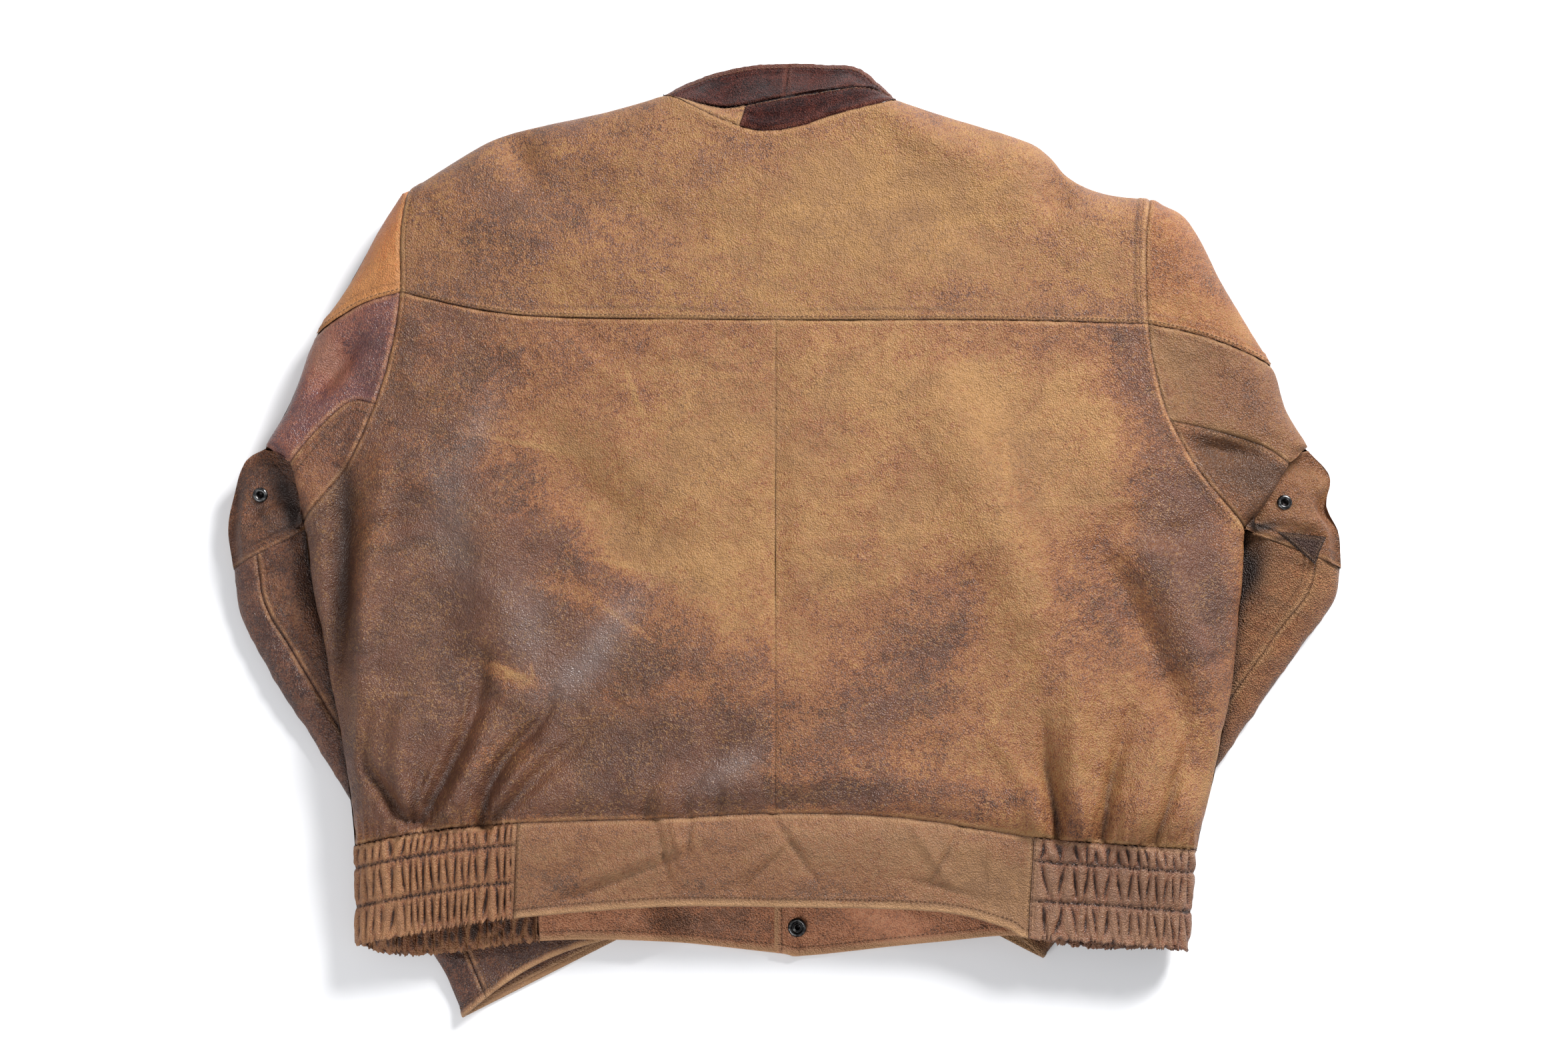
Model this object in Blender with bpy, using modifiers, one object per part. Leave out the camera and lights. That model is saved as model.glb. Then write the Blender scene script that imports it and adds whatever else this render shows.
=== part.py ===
"""A worn leather bomber jacket, laid face down: back up, collar turned up, sleeves bent under the body.

Millimetres inside the script, metres in the model.  +X is the wearer's right, +Y runs from hem to
collar, +Z is up from the table at Z = 0.  The jacket is cloth throughout: every piece is a wall of
one thickness, and neighbours share the points of the seam between them.

Three layers of cloth give the heights:
  top    the back, the yoke and the upper sleeves, one smooth skin that rolls down at the outline
  arm    the lower part of each sleeve, from the fold at the elbow to the cuff, flat on the table
  under  the fronts, flat on the table and lifted where they lie over the forearms
"""

import bmesh
import bpy
import numpy as np
from mathutils import Vector

MM = 0.001

# ---------------------------------------------------------------- driving dimensions
WALL = 2.0               # leather with its backing
SEAM_GAP = 0.3           # between two pieces at a seam
BACK_HEIGHT = 46.0       # outside of the back above the table
SLEEVE_DROP = 4.0        # the upper sleeves lie this much lower than the back
SLEEVE_START, SLEEVE_EASE = 270.0, 60.0      # beyond this far from the centre back, eased over this much
HEM_DROP = 11.0          # the back waistband sinks towards its hem
HEM_START_Y, HEM_EASE = -222.0, 75.0
WAIST_PUFF, PUFF_ABOVE, PUFF_WIDTH = 3.5, 24.0, 17.0     # the back puffs out above the waist seam
WAIST_DIP, DIP_WIDTH = 2.5, 8.0              # and the seam itself lies in a dip
FRONT_LIFT_CLEAR = 1.0   # the fronts lie this far above a forearm
FRONT_RAMP_FLAT = 14.0   # the lift stays full this far past the forearm's edge
FRONT_RAMP_END = 50.0    # and is gone at this distance
CENTRE_BACK_X = -6.0
ZIP_LEFT_X, ZIP_RIGHT_X = -3.0, 9.0

# ---------------------------------------------------------------- outline stations
# Each row is one station of the outline: the left side of the jacket (-X) and the right side,
# with the height of the fold there and the distance over which the cloth rolls down to it.
SIDE = [
    # station          left x, y       right x, y      fold, roll
    ("hem",           (-309, -309), (291, -313), 18, 22),
    ("waist",         (-311, -240), (299, -243), 22, 26),
    ("low side",      (-318, -185), (313, -187), 26, 34),
    ("mid side",      (-331, -118), (326, -125), 27, 36),
    ("high side",     (-346, -50), (335, -60), 29, 30),
    ("armpit",        (-353, -4), (338, -9), 31, 20),
]
LIP = [
    # the fold of the sleeve at the inside of the elbow
    ("armpit",        (-353, -4), (338, -9), 31, 20),
    ("low lip",       (-358, 20), (356, 13), 37, 9),
    ("gusset end",    (-363, 39), (371, 38), 38, 8),
    ("notch",         (-383, 53), (387, 52), 30, 14),
]
SLEEVE_EDGE = [
    ("notch",         (-383, 53), (387, 52), 30, 14),
    ("above elbow",   (-367, 88), (374, 79), 24, 28),
    ("cap seam",      (-350, 138), (364, 114), 21, 34),
    ("cap middle",    (-330, 172), (332, 172), 20, 34),
    ("cap top",       (-306, 218), (306, 224), 20, 30),
    ("sleeve head",   (-288, 247), (282, 241), 20, 28),
]
SHOULDER = [
    ("sleeve head",   (-288, 247), (282, 241), 20, 28),
    ("tip",           (-281, 251), (275, 243), 20, 30),
    ("outer",         (-238, 279), (236, 249), 21, 38),
    ("dent",          (-212, 293), (213, 262), 21, 40),
    ("middle",        (-182, 301), (188, 286), 22, 40),
    ("inner",         (-134, 311), (124, 307), 23, 32),
    ("neck",          (-92, 322), (84, 319), 26, 20),
]
ARMHOLE = [
    # from the shoulder tip down to the armpit
    ("tip",           (-281, 251), (275, 243)),
    ("head",          (-285, 214), (269, 205)),
    ("yoke",          (-284, 166), (269, 142)),
    ("blade",         (-289, 126), (274, 104)),
    ("gusset",        (-301, 82), (284, 69)),
    ("lower",         (-320, 38), (306, 30)),
    ("armpit",        (-353, -4), (338, -9)),
]
YOKE_SEAM = [(-284, 166), (-220, 152), (-160, 147), (-6, 145), (160, 145), (269, 142)]
NECK_SEAM = [(-92, 322), (-71, 311), (-44, 298), (-18, 290), (10, 293), (39, 303), (73, 312), (84, 319)]
FRONT_NECK = [(-92, 322), (-62, 284), (-3, 262)], [(84, 319), (58, 283), (9, 262)]
CAP_SEAM = [(-284, 166), (-316, 157), (-350, 138)], [(269, 142), (312, 133), (364, 114)]
GUSSET_SEAM = [(-301, 82), (-320, 84), (-343, 64), (-363, 39)], [(284, 69), (314, 63), (350, 52), (371, 38)]
WAIST_SEAM = [(-311, -240), (-256, -230), (-191, -224), (-96, -221), (-6, -217), (84, -220), (179, -234),
              (236, -239), (299, -243)]
BACK_HEM = [(-309, -309), (-248, -298), (-194, -290), (-90, -282), (-6, -282), (107, -285), (157, -296),
            (175, -304), (228, -307), (291, -313)]
FRONT_WAIST_Y = -251.0
FRONT_HEM = [(-309, -309), (-290, -315), (-251, -316), (-177, -307), (-97, -307), (-6, -316), (17, -318),
             (109, -308), (166, -303), (200, -309), (228, -312), (291, -313)]

# The lower sleeve: a row for each section, with its outer and inner edge, left arm and right arm.
FOREARM = [
    # section        left outer      left inner      right outer     right inner
    ("elbow",       (-409, -37), (-360, -12), (414, -36), (352, -16)),
    ("below elbow", (-403, -72), (-338, -36), (409, -60), (332, -36)),
    ("bulge",       (-381, -109), (-305, -66), (388, -88), (300, -58)),
    ("upper",       (-350, -158), (-264, -106), (357, -130), (268, -84)),
    ("middle",      (-319, -207), (-218, -152), (318, -182), (228, -118)),
    ("lower",       (-284, -262), (-170, -212), (264, -242), (172, -172)),
    ("wrist",       (-256, -312), (-136, -262), (216, -290), (112, -222)),
    ("mouth",       (-233, -362), (-115, -303), (189, -320), (76, -262)),
]
ELBOW_EDGE = [(-383, 53), (-400, 42), (-409, 16), (-413, -8), (-409, -37)], \
             [(387, 52), (405, 32), (403, 10), (412, -10), (414, -36)]
# height of the lower sleeve's top above the table, along Y
ARM_TOP = [(-330, 12.0), (-110, 15.0), (-78, 16.0), (-36, 20.0), (0, 27.0), (40, 31.0)]
ARM_EDGE = [(-330, 5.5), (-110, 7.0), (-36, 10.0), (0, 15.0), (30, 20.0), (50, 24.0)]

# The collar is turned up at the back and wraps round to the fronts beneath: seam to the fall, outer edge,
# each as x, y, height; and the same two lines under the jacket, left and right.
FALL_SEAM = [(-92, 323, 24), (-73, 317, 33), (-41, 311, 37), (1, 319, 37), (44, 327, 34), (66, 328, 31),
             (80, 322, 27), (85, 320, 24)]
COLLAR_EDGE = [(-93, 325, 17), (-67, 339, 15), (-32, 350, 13), (0, 353, 12), (33, 352, 12), (59, 348, 13),
               (76, 337, 15), (86, 322, 17)]
UNDER_FALL = [(-92, 323), (-62, 299), (-3, 279)], [(85, 320), (60, 298), (9, 279)]
UNDER_EDGE = [(-93, 325), (-62, 329), (-3, 332)], [(86, 322), (60, 328), (9, 332)]
STAND_JOIN_X = {"neck": -32, "fall": -34, "edge": -40}     # left end piece of the stand
COLLAR_CENTRE_X = {"neck": -9, "fall": 1, "edge": 0}

# The largest folds of the back: ridges are positive, troughs negative.
BACK_FOLDS = [
    # name                     from          to           half width, height
    ("left side trough",     (-338, -25), (-300, -205), 17, -7.5),
    ("left side ridge",      (-312, -40), (-276, -190), 17, 4.0),
    ("right side trough",    (232, -30), (300, -190), 16, -6.0),
    ("right long ridge",     (118, 90), (232, -190), 26, 4.0),
    ("left waist pleat",     (-262, -222), (-290, -150), 9, -5.0),
    ("right waist pleat",    (196, -228), (180, -165), 9, -5.0),
    ("left shoulder dent",   (-208, 300), (-190, 250), 14, -4.0),
    ("right shoulder dent",  (212, 262), (196, 225), 13, -5.0),
    ("blade hollow",         (-190, 60), (-90, -40), 34, -3.0),
    ("centre swell",         (-120, -80), (80, -150), 50, 3.0),
    ("left sleeve fold",     (-318, 130), (-352, 84), 9, -4.0),
    ("right sleeve fold",    (306, 50), (352, 46), 9, -4.0),
]

# ---------------------------------------------------------------- grid sizes (segments)
HEAD_ROWS, BLADE_ROWS, PIT_ROWS, SIDE_ROWS = 5, 3, 6, 7
SLEEVE_COLUMNS = 6
BAND_ROWS, BAND_COLUMNS, ELASTIC_COLUMNS, FRONT_ELASTIC = 3, 6, 6, 5
FRONT_SHOULDER, FRONT_NECKLINE = 7, 4
NECK_RIGHT = BAND_COLUMNS + ELASTIC_COLUMNS - FRONT_SHOULDER     # the yoke's neck edge, either side of centre
NECK_LEFT = NECK_RIGHT - 1
ARM_SEAM = 22.0                      # top seam of the lower sleeve, in from its outer edge
TOP_SHARE = [0, 0.35, 1], [0, 0.27, 0.53, 0.78, 1]      # outer edge to top seam, top seam to inner edge
BASE_SHARE = [0, 0.12, 0.38, 0.62, 0.88, 1]             # and back underneath
MOUTH_SHORT = 10.0                   # the upper lip of the cuff lies this far back from the lower one
FACING_DEPTH, FACING_WALL = 30.0, 1.2
TAB_END_X, LEFT_BAND_END_X, TAB_LIFT = -6.0, 3.5, 2.5
FRONT_END = (-177, 190)              # where each elastic side meets the plain front band, at the hem
SIDE_ROLL, ARM_ROLL, COLLAR_ROLL = 16.0, 16.0, 14.0      # the under layers turn up over these distances
NOTCH_ROOM, ARMPIT_ROOM = 0.2, 0.4   # share of a cell left free where four pieces meet
EYELETS = [(-388, 17), (369, 11)]
EYELET = dict(outside=5.6, inside=2.6, height=1.6)
SNAP = (9, -299)
SNAP_RING = dict(outside=7.0, inside=2.4, height=2.4)
RING_STEPS = 14
INSERT_WALL, PATCH_CLEAR = 1.0, 0.2


# ---------------------------------------------------------------- plan curves
def curve(points, steps=16):
    """A smooth line through plan or space points, as a dense list."""
    p = np.array(points, float)
    ends = np.vstack([2 * p[0] - p[1], p, 2 * p[-1] - p[-2]])
    out = []
    for i in range(len(p) - 1):
        a, b, c, d = ends[i:i + 4]
        for t in np.arange(steps) / steps:
            out.append(0.5 * (2 * b + (c - a) * t + (2 * a - 5 * b + 4 * c - d) * t**2
                              + (3 * b - a - 3 * c + d) * t**3))
    return np.array(out + [p[-1]])


def spaced(line, segments, fractions=None):
    """Points along a line, evenly spaced or at the given fractions of its length."""
    run = np.concatenate([[0], np.cumsum(np.linalg.norm(np.diff(line, axis=0), axis=1))])
    at = (np.linspace(0, 1, segments + 1) if fractions is None else np.array(fractions)) * run[-1]
    return np.stack([np.interp(at, run, line[:, i]) for i in range(line.shape[1])], axis=1)


def join(*lines):
    """Several lines end to end, each starting where the one before it ends."""
    return np.vstack([lines[0]] + [line[1:] for line in lines[1:]])


def side_points(table, side):
    return [row[1 + side] for row in table]


def coons(first, last, start, end):
    """A grid between four edges: rows run from first to last, columns from start to end."""
    rows, columns = len(start), len(first)
    v = np.linspace(0, 1, rows)[:, None, None]
    u = np.linspace(0, 1, columns)[None, :, None]
    across = (1 - v) * first[None] + v * last[None]
    along = (1 - u) * start[:, None] + u * end[:, None]
    corners = ((1 - v) * ((1 - u) * first[0] + u * first[-1]) + v * ((1 - u) * last[0] + u * last[-1]))
    return across + along - corners


def towards(end, count, power=1.7):
    """Fractions from 0 to 1 that crowd together at their start or their end."""
    t = np.linspace(0, 1, count + 1)
    return 1 - (1 - t)**power if end else t**power


# ---------------------------------------------------------------- heights
def nearest(plan, line):
    """Distance from plan points to a line, and the fraction of the way along it."""
    best = np.full(plan.shape[:-1], 1e9)
    where = np.zeros(plan.shape[:-1])
    for i in range(len(line) - 1):
        a, ab = line[i], line[i + 1] - line[i]
        t = np.clip(((plan - a) @ ab) / (ab @ ab), 0, 1)
        d = np.linalg.norm(plan - (a + t[..., None] * ab), axis=-1)
        closer = d < best - 1e-9
        best = np.where(closer, d, best)
        where = np.where(closer, i + t, where)
    return best, where


def rolled(d, roll):
    """A quarter circle: 0 at the outline, 1 once the cloth lies flat."""
    return np.sqrt(np.clip(1 - (1 - np.clip(d / roll, 0, 1))**2, 0, 1))


def ease(t):
    t = np.clip(t, 0, 1)
    return t * t * (3 - 2 * t)


def outline(table, side):
    rows = [tuple(row[1 + side]) + (row[3], row[4]) for row in table]
    return curve(rows, 6)


OUTLINES = [outline(table, side) for side in (0, 1) for table in (SIDE, LIP, SLEEVE_EDGE, SHOULDER)]


def back_level(plan):
    """Height of the top layer before it rolls down at the outline."""
    x, y = plan[..., 0], plan[..., 1]
    level = BACK_HEIGHT - SLEEVE_DROP * ease((np.abs(x - CENTRE_BACK_X) - SLEEVE_START) / SLEEVE_EASE)
    level = level - HEM_DROP * ease((HEM_START_Y - y) / HEM_EASE)
    seam = np.interp(x, [p[0] for p in WAIST_SEAM], [p[1] for p in WAIST_SEAM])
    level = level + WAIST_PUFF * np.exp(-((y - seam - PUFF_ABOVE) / PUFF_WIDTH)**2)
    level = level - WAIST_DIP * np.exp(-((y - seam) / DIP_WIDTH)**2)
    for _, start, end, width, height in BACK_FOLDS:
        d, _ = nearest(plan, np.array([start, end], float))
        level = level + height * np.exp(-(d / width)**2)
    return level


def top_height(plan):
    """Outside of the back and the upper sleeves."""
    level = back_level(plan)
    drop = np.zeros(plan.shape[:-1])
    for line in OUTLINES:
        d, where = nearest(plan, line[:, :2])
        i = np.arange(len(line))
        fold, roll = np.interp(where, i, line[:, 2]), np.interp(where, i, line[:, 3])
        drop = np.maximum(drop, (level - fold) * (1 - rolled(d, roll)))
    return level - drop


ARM_LINES = [tuple(curve([row[column + 2 * side] for row in FOREARM], 6) for column in (1, 2))
             for side in (0, 1)]


def along_y(table, y):
    return np.interp(y, [row[0] for row in table], [row[1] for row in table])


def arm_height(plan, side):
    """Outside of the lower sleeve."""
    outer = join(curve(ELBOW_EDGE[side], 6), ARM_LINES[side][0])
    level, fold = along_y(ARM_TOP, plan[..., 1]), along_y(ARM_EDGE, plan[..., 1])
    drop = np.zeros(plan.shape[:-1])
    for line in (outer, ARM_LINES[side][1]):
        d, _ = nearest(plan, line)
        drop = np.maximum(drop, (level - fold) * (1 - rolled(d, ARM_ROLL)))
    return level - drop


def lift(plan):
    """Height of the fronts' underside: flat on the table, and above the forearms."""
    height = np.zeros(plan.shape[:-1])
    for outer, inner in ARM_LINES:
        ring = np.vstack([outer, inner[::-1]])
        d, _ = nearest(plan, np.vstack([ring, ring[:1]]))
        inside = np.zeros(plan.shape[:-1], bool)
        for a, b in zip(ring, np.roll(ring, -1, axis=0)):
            crosses = (a[1] > plan[..., 1]) != (b[1] > plan[..., 1])
            rise = b[1] - a[1] if b[1] != a[1] else 1e-9
            inside ^= crosses & (plan[..., 0] < a[0] + (plan[..., 1] - a[1]) * (b[0] - a[0]) / rise)
        away = np.where(inside, 0, d)
        ramp = 1 - ease((away - FRONT_RAMP_FLAT) / (FRONT_RAMP_END - FRONT_RAMP_FLAT))
        height = np.maximum(height, ramp * (along_y(ARM_TOP, plan[..., 1]) + FRONT_LIFT_CLEAR))
    return height


def under_height(plan):
    """Outside of the fronts: it meets the top layer at the sides and shoulders."""
    lifted = lift(plan)
    rise = np.zeros(plan.shape[:-1])
    for k, line in enumerate(OUTLINES):
        if k % 4 in (0, 3):
            d, where = nearest(plan, line[:, :2])
            fold = np.interp(where, np.arange(len(line)), line[:, 2])
            rise = np.maximum(rise, (fold - lifted) * (1 - rolled(d, SIDE_ROLL)))
    return lifted + rise


def armhole_under(line):
    """The underside's height along an armhole, which meets the top layer at both ends."""
    z = under_height(line)
    z[[0, -1]] = top_height(line[[0, -1]])
    return z


def with_height(plan, height):
    return np.concatenate([plan, height[..., None]], axis=-1)


# ---------------------------------------------------------------- walls
PIECES = {}


def piece(name, grid, leather, faces=1, judged=slice(None), wall=WALL):
    """Keep the outside of a piece as a grid of points; its wall is made once all pieces are known.

    faces is 1 where the judged columns look up and -1 where they look down at the table.
    """
    upward = point_normals(grid)[:, judged, 2].sum() > 0
    PIECES[name] = (grid if upward == (faces > 0) else grid[::-1], leather, wall)


def point_normals(grid):
    """Area normals at each point, summed from the four cells around it."""
    a, b, c, d = grid[:-1, :-1], grid[:-1, 1:], grid[1:, 1:], grid[1:, :-1]
    cell = np.cross(c - a, d - b)
    total = np.zeros_like(grid)
    for rows in (slice(None, -1), slice(1, None)):
        for columns in (slice(None, -1), slice(1, None)):
            total[rows, columns] += cell
    return total


def inset(grid, gap):
    """Draw the four edges of a grid in by half a seam gap."""
    out = grid.copy()
    for edge, inner in ((0, 1), (-1, -2)):
        for axis in (0, 1):
            g, o = np.moveaxis(grid, axis, 0), np.moveaxis(out, axis, 0)
            step = g[inner] - g[edge]
            length = np.linalg.norm(step, axis=-1, keepdims=True)
            o[edge] += step / np.maximum(length, 1e-6) * np.minimum(gap / 2, 0.4 * length)
    return out


def shared_normals():
    """One unit normal at each point, the same for every piece that meets there."""
    total = {}
    for grid, _, _ in PIECES.values():
        for point, normal in zip(grid.reshape(-1, 3), point_normals(grid).reshape(-1, 3)):
            key = tuple(np.round(point, 3))
            total[key] = total.get(key, 0) + normal
    return total


def build_walls(total):
    for name, (grid, leather, wall) in PIECES.items():
        keys = [tuple(np.round(point, 3)) for point in grid.reshape(-1, 3)]
        normal = np.array([total[key] for key in keys]).reshape(grid.shape)
        normal /= np.maximum(np.linalg.norm(normal, axis=-1, keepdims=True), 1e-9)
        outer, inner = inset(grid, SEAM_GAP), inset(grid - wall * normal, SEAM_GAP)
        wall_object(name, outer, inner, leather)


def wall_object(name, outer, inner, leather):
    """A closed wall between two grids of the same size."""
    rows, columns = outer.shape[:2]
    mesh = bmesh.new()
    skin = [[[mesh.verts.new(p * MM) for p in row] for row in grid] for grid in (outer, inner)]
    for i in range(rows - 1):
        for j in range(columns - 1):
            for side, order in ((0, 1), (1, -1)):
                s = skin[side]
                mesh.faces.new([s[i][j], s[i][j + 1], s[i + 1][j + 1], s[i + 1][j]][::order])
    rim = ([(0, j) for j in range(columns - 1)] + [(i, columns - 1) for i in range(rows - 1)]
           + [(rows - 1, j) for j in range(columns - 1, 0, -1)] + [(i, 0) for i in range(rows - 1, 0, -1)])
    for (i, j), (k, m) in zip(rim, rim[1:] + rim[:1]):
        mesh.faces.new([skin[0][k][m], skin[0][i][j], skin[1][i][j], skin[1][k][m]])
    bmesh.ops.triangulate(mesh, faces=mesh.faces[:])
    data = bpy.data.meshes.new(name)
    mesh.to_mesh(data)
    mesh.free()
    data.shade_smooth()
    finish_object(bpy.data.objects.new(name, data), leather)


# ---------------------------------------------------------------- materials and objects
LEATHERS = {
    # name              colour                    roughness, metallic
    "back_leather":    ((0.29, 0.16, 0.065), 0.55, 0.0),
    "worn_orange":     ((0.43, 0.17, 0.05), 0.55, 0.0),
    "dark_leather":    ((0.15, 0.065, 0.035), 0.5, 0.0),
    "band_leather":    ((0.24, 0.12, 0.055), 0.55, 0.0),
    "collar_leather":  ((0.11, 0.04, 0.025), 0.5, 0.0),
    "zip_tape":        ((0.05, 0.03, 0.02), 0.8, 0.0),
    "dark_nickel":     ((0.18, 0.18, 0.18), 0.35, 1.0),
}


def material(leather, name):
    colour, roughness, metallic = LEATHERS[leather]
    made = bpy.data.materials.new(f"{leather}_{name}")
    made.use_nodes = True
    shader = made.node_tree.nodes["Principled BSDF"]
    shader.inputs["Base Color"].default_value = (*colour, 1)
    shader.inputs["Roughness"].default_value = roughness
    shader.inputs["Metallic"].default_value = metallic
    made.diffuse_color = (*colour, 1)
    return made


def finish_object(thing, leather):
    jacket.objects.link(thing)
    thing.data.materials.append(material(leather, thing.name))
    thing.parent = origin


for old in list(bpy.data.objects):
    bpy.data.objects.remove(old)
jacket = bpy.data.collections.new("worn_leather_jacket")
bpy.context.scene.collection.children.link(jacket)
origin = bpy.data.objects.new("jacket_origin", None)
jacket.objects.link(origin)
NAMES = ("left", "right")

# ---------------------------------------------------------------- seam lines that pieces share
armholes, edges, elbows = [], [], []
for side in (0, 1):
    armhole = curve(side_points(ARMHOLE, side))
    yoke_at = nearest(np.array(ARMHOLE[2][1 + side], float), armhole)[1]
    gusset_at = nearest(np.array(ARMHOLE[4][1 + side], float), armhole)[1]
    yoke_at, gusset_at = int(round(float(yoke_at))), int(round(float(gusset_at)))
    armholes.append((spaced(armhole[:yoke_at + 1], HEAD_ROWS),
                     spaced(armhole[yoke_at:gusset_at + 1], BLADE_ROWS),
                     spaced(armhole[gusset_at:], PIT_ROWS, towards(True, PIT_ROWS, 1.3))))
    edge = curve(side_points(SLEEVE_EDGE, side))[::-1]
    cap_at = int(round(float(nearest(np.array(CAP_SEAM[side][-1], float), edge)[1])))
    edges.append((spaced(edge[:cap_at + 1], HEAD_ROWS), spaced(edge[cap_at:], BLADE_ROWS)))
    elbows.append(spaced(curve(ELBOW_EDGE[side]), PIT_ROWS, [0, 0.12, 0.28, 0.46, 0.64, 0.82, 1.0]))

yoke_line, waist_line, hem_line = curve(YOKE_SEAM), curve(WAIST_SEAM), curve(BACK_HEM)


def stretch(line, x0, x1, segments, fractions=None):
    """The part of a line that runs from x0 to x1, in either direction."""
    forward = x0 < x1
    low, high = min(x0, x1), max(x0, x1)
    ends = np.array([[np.interp(x, line[:, 0], column) for column in line.T] for x in (low, high)])
    inside = line[(line[:, 0] > low + 1e-6) & (line[:, 0] < high - 1e-6)]
    part = np.vstack([ends[:1], inside, ends[1:]])
    return spaced(part if forward else part[::-1], segments, fractions)


BAND_SEAM_TOP, BAND_SEAM_HEM = (-191, 179), (-194, 175)
SIDE_TOP = [SIDE[1][1 + side] for side in (0, 1)]
SIDE_HEM = [SIDE[0][1 + side] for side in (0, 1)]


def half_back(line, side, x_middle, x_end):
    """One half of a cross seam, from the centre back to the side, denser at the side."""
    inner = stretch(line, CENTRE_BACK_X, x_middle, BAND_COLUMNS)
    outer = stretch(line, x_middle, x_end, ELASTIC_COLUMNS, towards(True, ELASTIC_COLUMNS))
    return join(inner, outer)


# ---------------------------------------------------------------- back, yoke and fronts
shared = []
for side, name in enumerate(NAMES):
    head, blade, pit = armholes[side]
    flank = spaced(curve(side_points(SIDE, side))[:, :2][::-1], 40)
    waist_at = nearest(np.array(SIDE_TOP[side], float), flank)[1]
    body_side = spaced(flank[:int(round(float(waist_at))) + 1], SIDE_ROWS)
    body_side[-1] = SIDE_TOP[side]
    outer = join(blade, pit, body_side)
    yoke_half = half_back(yoke_line, side, CENTRE_BACK_X + (outer[0, 0] - CENTRE_BACK_X) * 0.6, outer[0, 0])
    waist_half = half_back(waist_line, side, BAND_SEAM_TOP[side], SIDE_TOP[side][0])
    yoke_half[-1], waist_half[-1] = outer[0], outer[-1]
    centre = spaced(np.array([yoke_half[0], waist_half[0]]), len(outer) - 1)
    plan = coons(yoke_half, waist_half, centre, outer)
    plan = plan[:, ::-1]                                # rows run from the side to the centre back
    piece(f"back_{name}", with_height(plan, top_height(plan)), "back_leather")

    shoulder = spaced(curve(side_points(SHOULDER[1:], side)), FRONT_SHOULDER)
    neck = spaced(curve(FRONT_NECK[side]), FRONT_NECKLINE)
    top = join(shoulder, neck)
    zip_x = (ZIP_LEFT_X, ZIP_RIGHT_X)[side]
    side_x = SIDE_TOP[side][0]
    front_waist = curve([SIDE_TOP[side], (side_x * 0.8, FRONT_WAIST_Y + 2), (side_x * 0.4, FRONT_WAIST_Y),
                         (zip_x, FRONT_WAIST_Y)])
    bottom = spaced(front_waist, len(top) - 1, towards(False, len(top) - 1, 1.15))
    outer = join(head, blade, pit, body_side)
    middle = spaced(np.array([top[-1], bottom[-1]]), len(outer) - 1)
    plan = coons(top, bottom, outer, middle)
    z = under_height(plan)
    armhole_end = len(outer) - len(body_side)
    z[0, :FRONT_SHOULDER + 1] = top_height(shoulder)
    z[armhole_end:, 0] = top_height(body_side)
    z[:armhole_end + 1, 0] = armhole_under(outer[:armhole_end + 1])
    piece(f"front_{name}", with_height(plan, z), "back_leather", faces=-1)
    shared.append({"yoke": yoke_half, "waist": waist_half, "shoulder": shoulder, "front waist": bottom,
                   "front neck": np.column_stack([neck, z[0, FRONT_SHOULDER:]])})


def round_neck(line, part):
    """A line round the back of the neck, with points where the collar's pieces meet."""
    stops = [line[0, 0], STAND_JOIN_X[part], COLLAR_CENTRE_X[part], line[-1, 0]]
    counts = (NECK_LEFT, 1, NECK_RIGHT)
    return join(*(stretch(line, a, b, n) for a, b, n in zip(stops, stops[1:], counts)))


neck_line = round_neck(curve(NECK_SEAM), "neck")
yoke_top = join(shared[0]["shoulder"], neck_line, shared[1]["shoulder"][::-1])
yoke_base = join(shared[0]["yoke"][::-1], shared[1]["yoke"])
plan = coons(yoke_base, yoke_top, armholes[0][0][::-1], armholes[1][0][::-1])
piece("back_yoke", with_height(plan, top_height(plan)), "back_leather")

# ---------------------------------------------------------------- sleeves
def top_share(section):
    """Fractions across the lower sleeve: its outer edge, the top seam, its inner edge."""
    seam = min(0.4, ARM_SEAM / np.linalg.norm(section[1] - section[0]))
    return [seam * t for t in TOP_SHARE[0]] + [seam + (1 - seam) * t for t in TOP_SHARE[1][1:]]


lower_layers = []
FOLD_PROFILE = [
    # the underarm piece rolls in under itself at the lip and comes out again: depth in, height down
    (1.2, 2.8), (4.0, 4.2), (9.5, 4.2), (12.0, 6.8), (9.5, 9.4),
]


def fold_back(lip, start_at, end_at, side):
    """Columns of the hidden fold between the lip and the lower sleeve."""
    rows = len(lip)
    along = np.gradient(lip[:, :2], axis=0)
    inward = np.stack([-along[:, 1], along[:, 0]], axis=1) * (1, -1)[side]
    inward /= np.linalg.norm(inward, axis=1, keepdims=True)
    t = np.linspace(0, 1, rows)
    columns = []
    for k, (depth, down) in enumerate(FOLD_PROFILE):
        slide = ((k + 1) / len(FOLD_PROFILE))**2
        plan = lip[:, :2] + inward * depth * (1 - t**2)[:, None]
        first = plan[0] + (start_at[:2] - plan[0]) * slide
        plan = plan + (first - plan[0]) * (1 - ease(t * 1.6))[:, None]
        z = lip[:, 2] - down * (1 - 0.5 * t**2)
        z = z + (start_at[2] - z[0]) * slide * (1 - ease(t * 1.6))
        column = np.column_stack([plan, z])
        straight = lip[-1] + (end_at - lip[-1]) * (k + 1) / (len(FOLD_PROFILE) + PIT_ROWS - 1)
        fade = (t**4)[:, None]
        columns.append(column * (1 - fade) + straight * fade)
    return np.stack(columns, axis=1)


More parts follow.
